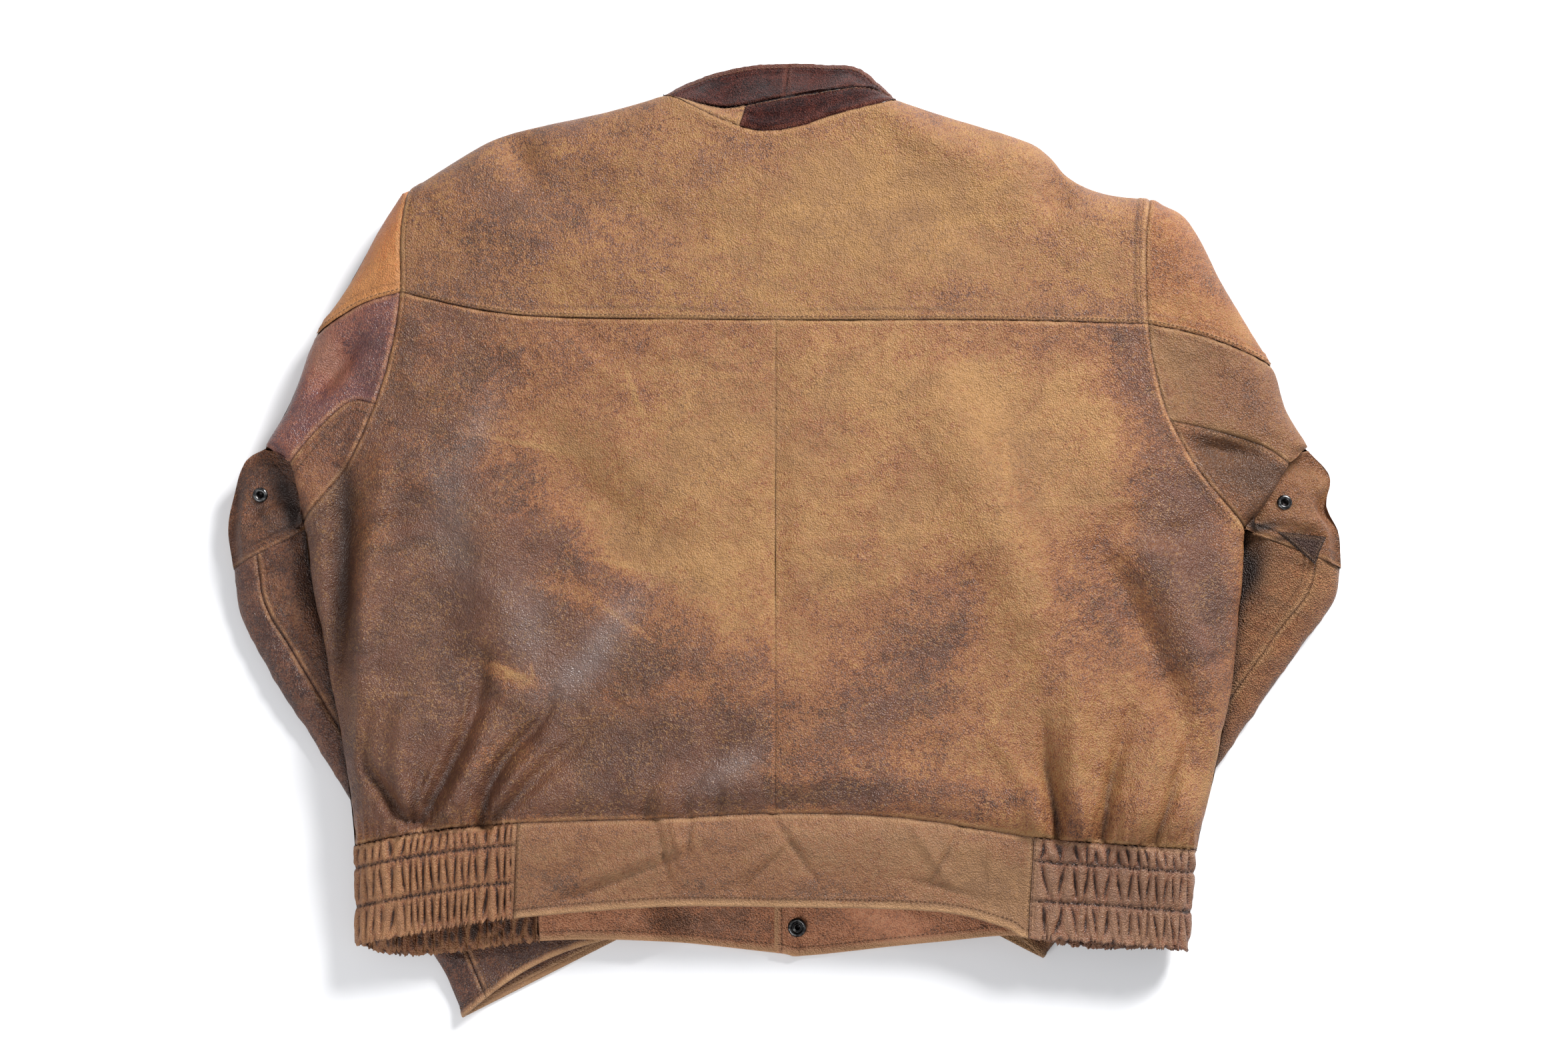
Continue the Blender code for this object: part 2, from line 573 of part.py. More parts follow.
for side, name in enumerate(NAMES):
    head, blade, pit = armholes[side]
    cap_edge, blade_edge = edges[side]
    elbow_edge = elbows[side]
    flip = side == 1
    cap_seam = spaced(curve(CAP_SEAM[side]), SLEEVE_COLUMNS)
    plan = coons(spaced(np.array([head[0], cap_edge[0]]), SLEEVE_COLUMNS), cap_seam, head, cap_edge)
    piece(f"sleeve_cap_{name}", with_height(plan, top_height(plan)), "worn_orange")

    lip_line = curve(side_points(LIP, side))
    gusset_seam = spaced(curve(GUSSET_SEAM[side]), SLEEVE_COLUMNS - 1)
    lower_edge = join(gusset_seam, np.array([gusset_seam[-1], blade_edge[-1]]))
    plan = coons(cap_seam, lower_edge, blade, blade_edge)
    piece(f"sleeve_upper_{name}", with_height(plan, top_height(plan)), "dark_leather" if side == 0 else
          "back_leather")

    # the underarm piece: top layer, hidden fold, then the part with the eyelet down to the elbow seam
    gusset_end = int(round(float(nearest(gusset_seam[-1], lip_line)[1])))
    lip = spaced(lip_line[:gusset_end + 1][::-1], PIT_ROWS)
    lip[0] = gusset_seam[-1]
    short_end = pit[-1] + (np.array(ELBOW_EDGE[side][-1]) - pit[-1]) * 0.12
    lip[-1] = short_end
    short = spaced(np.array([pit[-1], short_end]), SLEEVE_COLUMNS - 1)
    plan = coons(gusset_seam, short, pit, lip)
    upper_layer = with_height(plan, top_height(plan))

    section = np.array(FOREARM[0][1 + 2 * side], float), np.array(FOREARM[0][2 + 2 * side], float)
    elbow_seam = spaced(np.array(section), PIT_ROWS, top_share(section))
    edge_z = arm_height(elbow_edge[1:], side)
    end_z = float(arm_height(elbow_seam[-1], side))
    start_at, end_at = np.array([*elbow_edge[1], edge_z[0]]), np.array([*elbow_seam[-1], end_z])
    fold = fold_back(upper_layer[:, -1], start_at, end_at, side)
    fold[0, :-1] += NOTCH_ROOM * (fold[1, :-1] - fold[0, :-1])
    last = spaced(np.array([fold[-1, -1, :2], elbow_seam[-1]]), PIT_ROWS - 1)
    plan = coons(elbow_edge[1:], last, fold[:, -1, :2], elbow_seam)
    start_z = fold[:, -1, 2][:, None]
    blend = ease(np.linspace(0, 1.3, PIT_ROWS))[None]
    z = start_z * (1 - blend) + np.minimum(arm_height(plan, side), start_z) * blend
    z[:, -1] = arm_height(elbow_seam, side)
    z[0] = edge_z
    lower_layer = with_height(plan, z)
    whole = np.concatenate([upper_layer, fold, lower_layer[:, 1:]], axis=1)
    whole[-1, :-1] += ARMPIT_ROOM * (whole[-2, :-1] - whole[-1, :-1])
    piece(f"underarm_{name}", whole, "back_leather", judged=slice(0, 3))
    lower_layers.append(lower_layer)

    # the underside of the upper sleeve lies on the table
    outer = join(cap_edge, blade_edge, elbow_edge)
    inner = join(head, blade, pit)
    base_seam = spaced(np.array(section), SLEEVE_COLUMNS - 1, BASE_SHARE)
    top_end = spaced(np.array([inner[0], outer[0]]), SLEEVE_COLUMNS)
    low_end = join(np.array([inner[-1], base_seam[-1]]), base_seam[::-1])
    plan = coons(top_end, low_end, inner, outer)
    v = np.linspace(0, 1, SLEEVE_COLUMNS + 1)[None]
    seam_z = armhole_under(inner)
    z = seam_z[:, None] * (1 - ease(v / 0.3))
    edge_z = np.concatenate([top_height(join(cap_edge, blade_edge)), edge_z])
    gap = np.linalg.norm(plan - plan[:, -1:], axis=-1)
    z = z + (edge_z[:, None] - z) * (1 - rolled(gap, ARM_ROLL))
    z[-1] = [seam_z[-1], end_z] + [0] * (SLEEVE_COLUMNS - 2) + [edge_z[-1]]
    z[0] = top_height(top_end)
    piece(f"sleeve_under_{name}", with_height(plan, z), "back_leather", faces=-1)

    # the lower sleeve is a flat tube of two pieces, open at the cuff
    sections = np.concatenate([curve([row[1 + 2 * side] for row in FOREARM], 1),
                               curve([row[2 + 2 * side] for row in FOREARM], 1)], axis=1)
    top, base = [], []
    for k, (x0, y0, x1, y1) in enumerate(sections):
        ends = np.array([(x0, y0), (x1, y1)])
        line = spaced(ends, PIT_ROWS, top_share(ends))
        if k == len(sections) - 1:
            back = np.array([sections[k - 1, :2], sections[k - 1, 2:]]).mean(axis=0) - ends.mean(axis=0)
            t = np.linalg.norm(line - line[0], axis=1) / np.linalg.norm(ends[1] - ends[0])
            line = line + back / np.linalg.norm(back) * (MOUTH_SHORT * np.sin(np.pi * t))[:, None]
        z = arm_height(line, side)
        top.append(with_height(line, z))
        under = with_height(spaced(ends, SLEEVE_COLUMNS - 1, BASE_SHARE), np.zeros(SLEEVE_COLUMNS))
        under[0], under[-1] = top[-1][0], top[-1][-1]
        base.append(under)
    top, base = np.array(top), np.array(base)
    seam, base_split = len(TOP_SHARE[0]) - 1, 2
    outer_piece = np.concatenate([top[:, seam::-1], base[:, 1:base_split + 1]], axis=1)
    inner_piece = np.concatenate([top[:, seam:], base[:, -2:base_split - 1:-1]], axis=1)
    piece(f"forearm_outer_{name}", outer_piece, "dark_leather" if side == 0 else "back_leather",
          judged=slice(0, seam))
    piece(f"forearm_inner_{name}", inner_piece, "back_leather", judged=slice(0, 3))

    # the facing inside the cuff lies on the lower lip
    mouth, before = base[-1], base[-2]
    reach = FACING_DEPTH / np.linalg.norm(before[2] - mouth[2])
    back = mouth + (before - mouth) * reach
    near = mouth + (before - mouth) * 0.03
    facing = np.stack([near, back], axis=0)[:, :, :2]
    across = np.array([0.12, 0.38, 0.62, 0.88])[None, :, None]
    facing = facing[:, :1] * (1 - across) + facing[:, -1:] * across
    facing_z = np.full(facing.shape[:2], WALL + SEAM_GAP + FACING_WALL)
    piece(f"cuff_facing_{name}", with_height(facing, facing_z), "back_leather", wall=FACING_WALL)


# ---------------------------------------------------------------- waistband
front_hem = curve(FRONT_HEM)
waist_back = join(shared[0]["waist"][BAND_COLUMNS::-1], shared[1]["waist"][:BAND_COLUMNS + 1])
hem_back = stretch(hem_line, *BAND_SEAM_HEM, 2 * BAND_COLUMNS)
plan = coons(waist_back, hem_back, spaced(np.array([waist_back[0], hem_back[0]]), BAND_ROWS),
             spaced(np.array([waist_back[-1], hem_back[-1]]), BAND_ROWS))
piece("waistband_back", with_height(plan, top_height(plan)), "band_leather")

for side, name in enumerate(NAMES):
    sign = (-1, 1)[side]
    fold = spaced(np.array([SIDE_TOP[side], SIDE_HEM[side]], float), BAND_ROWS)
    waist = shared[side]["waist"][BAND_COLUMNS:]
    hem = stretch(hem_line, BAND_SEAM_HEM[side], fold[-1, 0], ELASTIC_COLUMNS, towards(True, ELASTIC_COLUMNS))
    hem[-1] = fold[-1]
    seam = spaced(np.array([waist[0], hem[0]]), BAND_ROWS)
    plan = coons(waist, hem, seam, fold)
    above = with_height(plan, top_height(plan))
    front_waist = shared[side]["front waist"]
    hem = stretch(front_hem, fold[-1, 0], FRONT_END[side], FRONT_ELASTIC, towards(False, FRONT_ELASTIC, 1.3))
    hem[0] = fold[-1]
    seam = spaced(np.array([front_waist[FRONT_ELASTIC], hem[-1]]), BAND_ROWS)
    plan = coons(front_waist[:FRONT_ELASTIC + 1], hem, fold, seam)
    z = under_height(plan)
    z[:, 0] = above[:, -1, 2]
    below = with_height(plan, z)
    piece(f"elastic_{name}", np.concatenate([above, below[:, 1:]], axis=1), "band_leather",
          judged=slice(0, 4))

    # the plain front band; the right one ends in a tab over the left one's end
    end_x = (LEFT_BAND_END_X, TAB_END_X)[side]
    waist = front_waist[FRONT_ELASTIC:]
    extra = [[LEFT_BAND_END_X, FRONT_WAIST_Y]] if side == 0 else \
        [[LEFT_BAND_END_X + 1, FRONT_WAIST_Y], [TAB_END_X, FRONT_WAIST_Y]]
    waist = np.vstack([waist, extra])
    last = len(waist) - 1
    body = last - len(extra)
    hem = join(stretch(front_hem, FRONT_END[side], waist[body, 0], body),
               *(stretch(front_hem, a[0], b[0], 1) for a, b in zip(waist[body:], waist[body + 1:])))
    hem[0] = seam[-1]
    end = spaced(np.array([waist[-1], hem[-1]]), BAND_ROWS)
    plan = coons(waist, hem, seam, end)
    z = under_height(plan)
    if side == 1:
        z[:, body + 1:] = TAB_LIFT
    piece(f"waistband_front_{name}", with_height(plan, z), "band_leather", faces=-1)

# ---------------------------------------------------------------- zip
zip_top = shared[0]["front neck"][-1, 1]
rows = np.linspace(zip_top, FRONT_WAIST_Y + SEAM_GAP, 3)
grid = np.array([[(x, y, 0.0) for x in (ZIP_LEFT_X, ZIP_RIGHT_X)] for y in rows])
piece("front_zip", grid, "zip_tape", faces=-1)


# ---------------------------------------------------------------- collar
def collar_line(over, part, beneath):
    """One line of the collar, from the left front, round the back of the neck, to the right front."""
    over = round_neck(over, part)
    ends = []
    for side in (0, 1):
        corner = over[0 if side == 0 else -1]
        line = spaced(curve(beneath[side]), FRONT_NECKLINE)
        line[0] = corner[:2]
        away = np.linalg.norm(line - line[0], axis=1)
        z = corner[2] * (1 - rolled(away, COLLAR_ROLL))
        ends.append(np.column_stack([line, z]))
    return join(ends[0][::-1], over, ends[1])


neck_ring = join(shared[0]["front neck"][::-1], with_height(neck_line, top_height(neck_line)),
                 shared[1]["front neck"])
fall_ring = collar_line(curve(FALL_SEAM), "fall", UNDER_FALL)
edge_ring = collar_line(curve(COLLAR_EDGE), "edge", UNDER_EDGE)
stand = np.stack([neck_ring, (neck_ring + fall_ring) / 2, fall_ring])
steps = np.linspace(0, 1, 4)[:, None, None]
swell = 3.0 * np.sin(np.pi * steps) * (fall_ring[None, :, 2:] > 20)
fall = (1 - steps) * fall_ring[None] + steps * edge_ring[None] + swell * np.array([0, 0, 1.0])
stand_end = FRONT_NECKLINE + NECK_LEFT
centre = stand_end + 1
piece("collar_stand_left", stand[:, :stand_end + 1], "back_leather", judged=slice(FRONT_NECKLINE, None))
piece("collar_stand", stand[:, stand_end:], "collar_leather", judged=slice(0, NECK_RIGHT))
piece("collar_fall_left", fall[:, :centre + 1], "collar_leather", judged=slice(FRONT_NECKLINE, None))
piece("collar_fall_right", fall[:, centre:], "collar_leather", judged=slice(0, NECK_RIGHT - 1))


# ---------------------------------------------------------------- eyelets, snap and elbow insert
def seat(grid, spot, reach=9.0):
    """A point over a grid, clear of its cells, and the normal of the plane that fits them best."""
    a, b, c, d = grid[:-1, :-1], grid[:-1, 1:], grid[1:, 1:], grid[1:, :-1]
    points = []
    for p, q, r in ((a, b, c), (a, c, d), (a, b, d), (b, c, d)):
        for v in np.linspace(0, 1, 9):
            points += [p + v * (u * (q - p) + (1 - u) * (r - p)) for u in np.linspace(0, 1, 9)]
    points = np.array(points).reshape(-1, 3)
    near = points[np.linalg.norm(points[:, :2] - spot, axis=1) < reach]
    level = np.column_stack([near[:, :2] - spot, np.ones(len(near))])
    plane, *_ = np.linalg.lstsq(level, near[:, 2], rcond=None)
    above = max(0.0, float((near[:, 2] - level @ plane).max()))
    up = np.array([-plane[0], -plane[1], 1.0])
    return np.array([*spot, plane[2] + above]), up / np.linalg.norm(up)


def ring(name, point, up, outside, inside, height):
    """A turned metal ring standing on the leather."""
    corner = height * 0.35
    profile = [(outside, corner), (outside, 0), (inside, 0), (inside, height * 0.8), (inside + corner, height),
               (outside - 2 * corner, height)]
    data = bpy.data.meshes.new(name)
    loop = [(i, (i + 1) % len(profile)) for i in range(len(profile))]
    data.from_pydata([(r * MM, 0, z * MM) for r, z in profile], loop, [])
    thing = bpy.data.objects.new(name, data)
    thing.location = (point + up * SEAM_GAP) * MM
    thing.rotation_mode = "QUATERNION"
    thing.rotation_quaternion = Vector(up).to_track_quat("Z", "Y")
    turn = thing.modifiers.new("turn", "SCREW")
    turn.steps = turn.render_steps = RING_STEPS
    turn.use_merge_vertices = True
    turn.merge_threshold = 0.00001
    turn.use_smooth_shade = True
    finish_object(thing, "dark_nickel")


for name, spot, layer in zip(NAMES, EYELETS, lower_layers):
    ring(f"eyelet_{name}", *seat(layer, spot), **EYELET)
ring("snap_ring", np.array([*SNAP, TAB_LIFT + WALL]), np.array([0, 0, 1.0]), **SNAP_RING)

# a small pebbled insert lies over the right elbow, made from the sleeve's own points moved out
patch = lower_layers[1][2:6, 3:6]
lift_out = point_normals(patch)
lift_out *= np.sign(lift_out[..., 2:]) / np.linalg.norm(lift_out, axis=-1, keepdims=True)
patch = patch + lift_out * (SEAM_GAP + INSERT_WALL + PATCH_CLEAR)
piece("elbow_insert_right", patch, "collar_leather", wall=INSERT_WALL)


def sizes():
    """Centre the jacket over the origin and rest it on the table."""
    low, high = np.full(3, 1e9), np.full(3, -1e9)
    for thing in jacket.objects:
        if thing.type == "MESH":
            points = np.array([v.co[:] for v in thing.data.vertices])
            low, high = np.minimum(low, points.min(axis=0)), np.maximum(high, points.max(axis=0))
    middle = (low + high) / 2
    return -float(middle[0]), -float(middle[1]), -float(low[2])


build_walls(shared_normals())
origin.location = sizes()
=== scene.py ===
"""A worn leather bomber jacket lying face down on a pale table: the looks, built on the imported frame.

Lengths are millimetres in the jacket's own plan: +X is the wearer's right, +Y runs from hem to collar, Z is
up from the table.  Each mesh is moved into the frame's metres as it is made.  Every piece of cloth is a thin
shell on the form of its solid, with its own creases, seams and wear.
"""

import bpy
import numpy as np
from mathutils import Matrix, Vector
from mathutils.bvhtree import BVHTree


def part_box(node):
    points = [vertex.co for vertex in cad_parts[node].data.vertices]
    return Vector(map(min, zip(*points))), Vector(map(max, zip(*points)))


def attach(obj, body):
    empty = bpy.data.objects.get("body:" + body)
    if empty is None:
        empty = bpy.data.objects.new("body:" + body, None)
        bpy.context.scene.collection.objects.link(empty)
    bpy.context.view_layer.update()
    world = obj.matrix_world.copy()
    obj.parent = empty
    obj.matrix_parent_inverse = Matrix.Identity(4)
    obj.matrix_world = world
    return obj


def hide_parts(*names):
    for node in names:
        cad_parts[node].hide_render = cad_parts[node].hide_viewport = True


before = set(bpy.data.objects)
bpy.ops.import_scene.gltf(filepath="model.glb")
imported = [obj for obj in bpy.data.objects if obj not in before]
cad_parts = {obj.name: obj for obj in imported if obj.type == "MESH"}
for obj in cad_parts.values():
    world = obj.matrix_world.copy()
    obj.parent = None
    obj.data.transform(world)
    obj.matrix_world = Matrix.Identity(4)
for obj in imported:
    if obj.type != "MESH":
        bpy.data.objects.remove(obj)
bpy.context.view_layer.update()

# ---- The back: two large panels of cowhide, joined by a plain seam down the middle.
# They hang full from the yoke and are gathered into the waistband at both sides, which is where
# most of the soft ridges start.  The side edges roll down to the fronts.

MM = 0.001                       # one of the plan's millimetres, in the frame's metres
SNAP = (9, -299)                 # the snap's centre in the plan, which ties the plan to the frame
snap_low, snap_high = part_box("snap_ring")
SHIFT = np.array([(snap_low[i] + snap_high[i]) / 2 / MM - SNAP[i] for i in (0, 1)] + [0.0])
CENTRE_BACK_X = -6.0
NAMES = ("left", "right")

# The outline of the top layer, up one side from the hem to the neck.
OUTLINE = [
    # station         left side     right side   height of the fold, reach of the roll
    ("hem",           (-309, -309), (291, -313), 18, 22),
    ("waist",         (-311, -240), (299, -243), 22, 26),
    ("low side",      (-318, -185), (313, -187), 26, 34),
    ("mid side",      (-331, -118), (326, -125), 27, 36),
    ("high side",     (-346, -50), (335, -60), 29, 30),
    ("armpit",        (-353, -4), (338, -9), 31, 20),
    ("low lip",       (-358, 20), (356, 13), 37, 9),
    ("gusset end",    (-363, 39), (371, 38), 38, 8),
    ("notch",         (-383, 53), (387, 52), 30, 14),
    ("above elbow",   (-367, 88), (374, 79), 24, 28),
    ("cap seam",      (-350, 138), (364, 114), 21, 34),
    ("cap middle",    (-330, 172), (332, 172), 20, 34),
    ("cap top",       (-306, 218), (306, 224), 20, 30),
    ("sleeve head",   (-288, 247), (282, 241), 20, 28),
    ("tip",           (-281, 251), (275, 243), 20, 30),
    ("outer",         (-238, 279), (236, 249), 21, 38),
    ("dent",          (-212, 293), (213, 262), 21, 40),
    ("middle",        (-182, 301), (188, 286), 22, 40),
    ("inner",         (-134, 311), (124, 307), 23, 32),
    ("neck",          (-92, 322), (84, 319), 26, 20),
]
SIDE, LIP, SLEEVE_EDGE, SHOULDER = OUTLINE[:6], OUTLINE[5:9], OUTLINE[8:14], OUTLINE[13:]
ARMHOLE = [
    ("tip",           (-281, 251), (275, 243)),
    ("head",          (-285, 214), (269, 205)),
    ("yoke",          (-284, 166), (269, 142)),
    ("blade",         (-289, 126), (274, 104)),
    ("gusset",        (-301, 82), (284, 69)),
    ("lower",         (-320, 38), (306, 30)),
    ("armpit",        (-353, -4), (338, -9)),
]
YOKE_SEAM = [(-284, 166), (-220, 152), (-160, 147), (-6, 145), (160, 145), (269, 142)]
WAIST_SEAM = [(-311, -240), (-256, -230), (-191, -224), (-96, -221), (-6, -217), (84, -220), (179, -234),
              (236, -239), (299, -243)]

BACK_HEIGHT, SLEEVE_DROP, HEM_DROP = 46.0, 4.0, 11.0
SLEEVE_START, SLEEVE_EASE = 270.0, 60.0
HEM_START_Y, HEM_EASE = -222.0, 75.0
WAIST_PUFF, PUFF_ABOVE, PUFF_WIDTH = 3.5, 24.0, 17.0
WAIST_DIP, DIP_WIDTH = 2.5, 8.0

# Creases of the whole top layer: ridges are positive, troughs negative.
CREASES = [
    # name                      points from one end to the other                half width, height
    ("left side trough",        [(-322, 30), (-323, -50), (-325, -120), (-322, -200)], 10, -14.0),
    ("left side ridge",         [(-292, 40), (-303, -50), (-308, -120), (-306, -190)], 10, 6.5),
    ("right side trough",       [(232, -30), (262, -90), (300, -190)], 13, -9.5),
    ("right side ridge",        [(262, -20), (292, -80), (312, -150)], 14, 6.0),
    ("right long ridge",        [(118, 90), (165, -30), (232, -190)], 26, 8.5),
    ("blade hollow",            [(-190, 60), (-140, 10), (-90, -40)], 30, -7.0),
    ("left hollow",             [(-252, 10), (-246, -60), (-230, -110)], 22, -3.0),
    ("left swell",              [(-215, 30), (-205, -60), (-186, -110)], 22, 4.5),
    ("centre swell",            [(-120, -80), (-20, -125), (80, -150)], 50, 6.5),
    ("left shoulder dent",      [(-208, 300), (-190, 250)], 14, -8.6),
    ("right shoulder dent",     [(212, 262), (196, 225)], 13, -10.5),
    ("left sleeve fold",        [(-318, 130), (-352, 84)], 9, -8.6),
    ("right sleeve fold",       [(306, 50), (352, 46)], 9, -8.6),
    ("left pleat one",          [(-270, -222), (-287, -201), (-303, -180), (-301, -145)], 5, -8.5),
    ("left pleat two",          [(-266, -216), (-276, -180), (-272, -140)], 8, 7.0),
    ("left pleat three",        [(-260, -222), (-242, -187), (-225, -145), (-218, -104)], 6, -11.0),
    ("left pleat four",         [(-240, -218), (-222, -180), (-204, -140)], 8, 7.0),
    ("left pleat five",         [(-218, -225), (-211, -197), (-197, -173), (-177, -152), (-166, -131)], 5, -9.5),
    ("left pleat six",          [(-206, -216), (-190, -188), (-165, -164)], 6, 5.5),
    ("left pleat seven",        [(-211, -225), (-190, -204), (-166, -180), (-121, -142)], 6, -6.5),
    ("left pleat eight",        [(-265, -222), (-262, -196), (-250, -170)], 4, -6.5),
    ("right pleat one",         [(198, -232), (190, -190), (186, -150)], 5.5, -9.5),
    ("right pleat two",         [(212, -232), (208, -180), (214, -120)], 9, 8.0),
    ("right pleat three",       [(228, -234), (236, -190), (250, -145)], 5.5, -9.0),
    ("right pleat four",        [(246, -236), (258, -195), (274, -150)], 9, 6.5),
    ("right pleat five",        [(266, -238), (280, -200), (292, -165)], 5, -7.5),
    ("right pleat six",         [(182, -230), (172, -195), (150, -160)], 7, 4.8),
    ("waist tuck one",          [(-100, -219), (-97, -203), (-90, -190)], 3.5, -3.6),
    ("waist tuck two",          [(-88, -219), (-84, -204), (-82, -194)], 3.5, 3.2),
    ("waist tuck three",        [(-70, -217), (-68, -205), (-60, -190)], 3.5, -3.2),
    ("waist tuck four",         [(-48, -217), (-46, -203), (-50, -192)], 3.5, -2.6),
    ("left low slant",          [(-262, -60), (-230, -120), (-190, -170)], 16, -3.4),
    ("left blade slant",        [(-300, 60), (-240, 10), (-180, -20)], 18, 3.4),
    ("left armpit pull",        [(-335, 0), (-300, -10), (-250, 10)], 10, -4.2),
    ("right armpit pull",       [(325, 0), (285, -14), (240, -4)], 10, -3.8),
    ("right blade slant",       [(270, 60), (220, 0), (170, -60)], 20, 2.8),
    ("yoke left drape",         [(-240, 230), (-150, 190), (-60, 180)], 24, 3.4),
    ("yoke left hollow",        [(-200, 270), (-110, 225), (-20, 210)], 20, -2.8),
    ("yoke right drape",        [(60, 240), (140, 215), (220, 170)], 26, -3.4),
    ("neck pull left",          [(-90, 305), (-120, 270), (-170, 250)], 12, 3.4),
    ("neck pull right",         [(80, 305), (110, 280), (150, 262)], 12, 3.4),
    ("centre low pucker",       [(-40, -160), (-60, -185), (-60, -205)], 10, -3.0),
    ("centre seam pull",        [(-6, 120), (-4, 0), (-6, -200)], 9, -2.3),
]


def curve(points, steps=16):
    """A smooth line through plan or space points, as a dense list."""
    p = np.array(points, float)
    ends = np.vstack([2 * p[0] - p[1], p, 2 * p[-1] - p[-2]])
    out = []
    for i in range(len(p) - 1):
        a, b, c, d = ends[i:i + 4]
        for t in np.arange(steps) / steps:
            out.append(0.5 * (2 * b + (c - a) * t + (2 * a - 5 * b + 4 * c - d) * t**2
                              + (3 * b - a - 3 * c + d) * t**3))
    return np.array(out + [p[-1]])


def run_of(line):
    """Distance along a line at each of its points."""
    return np.concatenate([[0], np.cumsum(np.linalg.norm(np.diff(line, axis=0), axis=1))])


def spaced(line, fractions):
    """Points along a line at the given fractions of its length."""
    run = run_of(line)
    return np.stack([np.interp(np.array(fractions) * run[-1], run, column) for column in line.T], axis=1)


def join(*lines):
    """Several lines end to end, each starting where the one before it ends."""
    return np.vstack([lines[0]] + [line[1:] for line in lines[1:]])


def stretch(line, x0, x1):
    """The part of a line that runs from x0 to x1, in either direction."""
    line = line if line[0, 0] < line[-1, 0] else line[::-1]
    low, high = min(x0, x1), max(x0, x1)
    ends = np.array([[np.interp(x, line[:, 0], column) for column in line.T] for x in (low, high)])
    inside = line[(line[:, 0] > low + 1e-6) & (line[:, 0] < high - 1e-6)]
    part = np.vstack([ends[:1], inside, ends[1:]])
    return part if x0 < x1 else part[::-1]


def split(line, *points):
    """Cut a line at the places nearest to the given points."""
    cuts = [0] + [int(np.argmin(np.linalg.norm(line[:, :2] - point, axis=1))) for point in points] + [len(line) - 1]
    return [line[a:b + 1] for a, b in zip(cuts, cuts[1:])]


def strides(length, cell=2.3, edge=0.9, reach=9.0):
    """Fractions along a line of this length: close together near both ends, a cell apart between."""
    half = [0.0]
    while half[-1] < length / 2:
        half.append(half[-1] + edge + (cell - edge) * min(half[-1] / reach, 1))
    half = np.array(half) * length / 2 / half[-1]
    return np.concatenate([half, length - half[-2::-1]]) / length


def fill(first, last, start, end, rows=None, columns=None):
    """A dense grid of points between four lines: rows run from first to last, columns from start to end."""
    if rows is None:
        rows = strides((run_of(start)[-1] + run_of(end)[-1]) / 2)
    if columns is None:
        columns = strides((run_of(first)[-1] + run_of(last)[-1]) / 2)
    first, last = spaced(first, columns), spaced(last, columns)
    start, end = spaced(start, rows), spaced(end, rows)
    v, u = np.array(rows)[:, None, None], np.array(columns)[None, :, None]
    corners = (1 - v) * ((1 - u) * first[0] + u * first[-1]) + v * ((1 - u) * last[0] + u * last[-1])
    return (1 - v) * first[None] + v * last[None] + (1 - u) * start[:, None] + u * end[:, None] - corners


def nearest(plan, line):
    """Distance from plan points to a line, and the fraction of the way along it."""
    best, where = np.full(plan.shape[:-1], 1e9), np.zeros(plan.shape[:-1])
    for i in range(len(line) - 1):
        a, ab = line[i], line[i + 1] - line[i]
        t = np.clip(((plan - a) @ ab) / (ab @ ab), 0, 1)
        d = np.linalg.norm(plan - (a + t[..., None] * ab), axis=-1)
        closer = d < best - 1e-9
        best, where = np.where(closer, d, best), np.where(closer, i + t, where)
    return best, where


def rolled(d, roll):
    """A quarter circle: 0 at the outline, 1 once the cloth lies flat."""
    return np.sqrt(np.clip(1 - (1 - np.clip(d / roll, 0, 1))**2, 0, 1))


def ease(t):
    t = np.clip(t, 0, 1)
    return t * t * (3 - 2 * t)


def hump(d, width):
    return np.exp(-(d / width)**2)


def ripples(plan, size, seed, along=0.0, longer=1.0):
    """Smooth random hills about one size apart, from -1 to 1, drawn out longer in one direction."""
    turn = np.array([[np.cos(along), -np.sin(along)], [np.sin(along), np.cos(along)]])
    place = plan @ turn / (size * np.array([longer, 1.0]))
    lattice = np.random.default_rng(seed).uniform(-1, 1, (128, 128))
    cell = np.floor(place).astype(int)
    t = ease(place - cell)
    x, y, u, v = cell[..., 0], cell[..., 1], t[..., 0], t[..., 1]
    corner = [lattice[(x + i) % 128, (y + j) % 128] for i in (0, 1) for j in (0, 1)]
    return (1 - u) * ((1 - v) * corner[0] + v * corner[1]) + u * ((1 - v) * corner[2] + v * corner[3])


def side_points(table, side):
    return [row[1 + side] for row in table]


def outline(table, side):
    return curve([tuple(row[1 + side]) + (row[3], row[4]) for row in table], 6)


OUTLINES = [outline(table, side) for side in (0, 1) for table in (SIDE, LIP, SLEEVE_EDGE, SHOULDER)]
CREASE_LINES = [(curve(points, 5), width, height) for _, points, width, height in CREASES]

BAND_TOP_X = (-191, 179)         # where the plain band ends and the elastic sides begin
GATHER_RISE, GATHER_REACH = 2.8, 15.0
PLEAT_Y = -200.0                 # creases that start below this are pleats, deepest at the waistband
PLEAT_START, CREASE_START, CREASE_END = 0.42, 0.12, 0.92
GATHERS = [(-480, -81.0), (-330, -55.0), (-191, -31.0), (0, 0.0), (179, 16.0), (215, 19.5), (240, 23.0),
           (330, 37.0), (460, 57.0)]


def gather_turns(x):
    """How many gathers lie from the middle to x: wide ones at the right of the band, then close ones."""
    return np.interp(x + 5 * ripples(np.stack([x, 0 * x], axis=-1), 17, 91), *np.transpose(GATHERS))


def swell_along(where, start, end=None):
    """How strong a crease is along its length; where runs from 0 to 1."""
    end = 1 - start if end is None else end
    return np.sin(np.pi * np.clip(start + (end - start) * where, 0, 1))


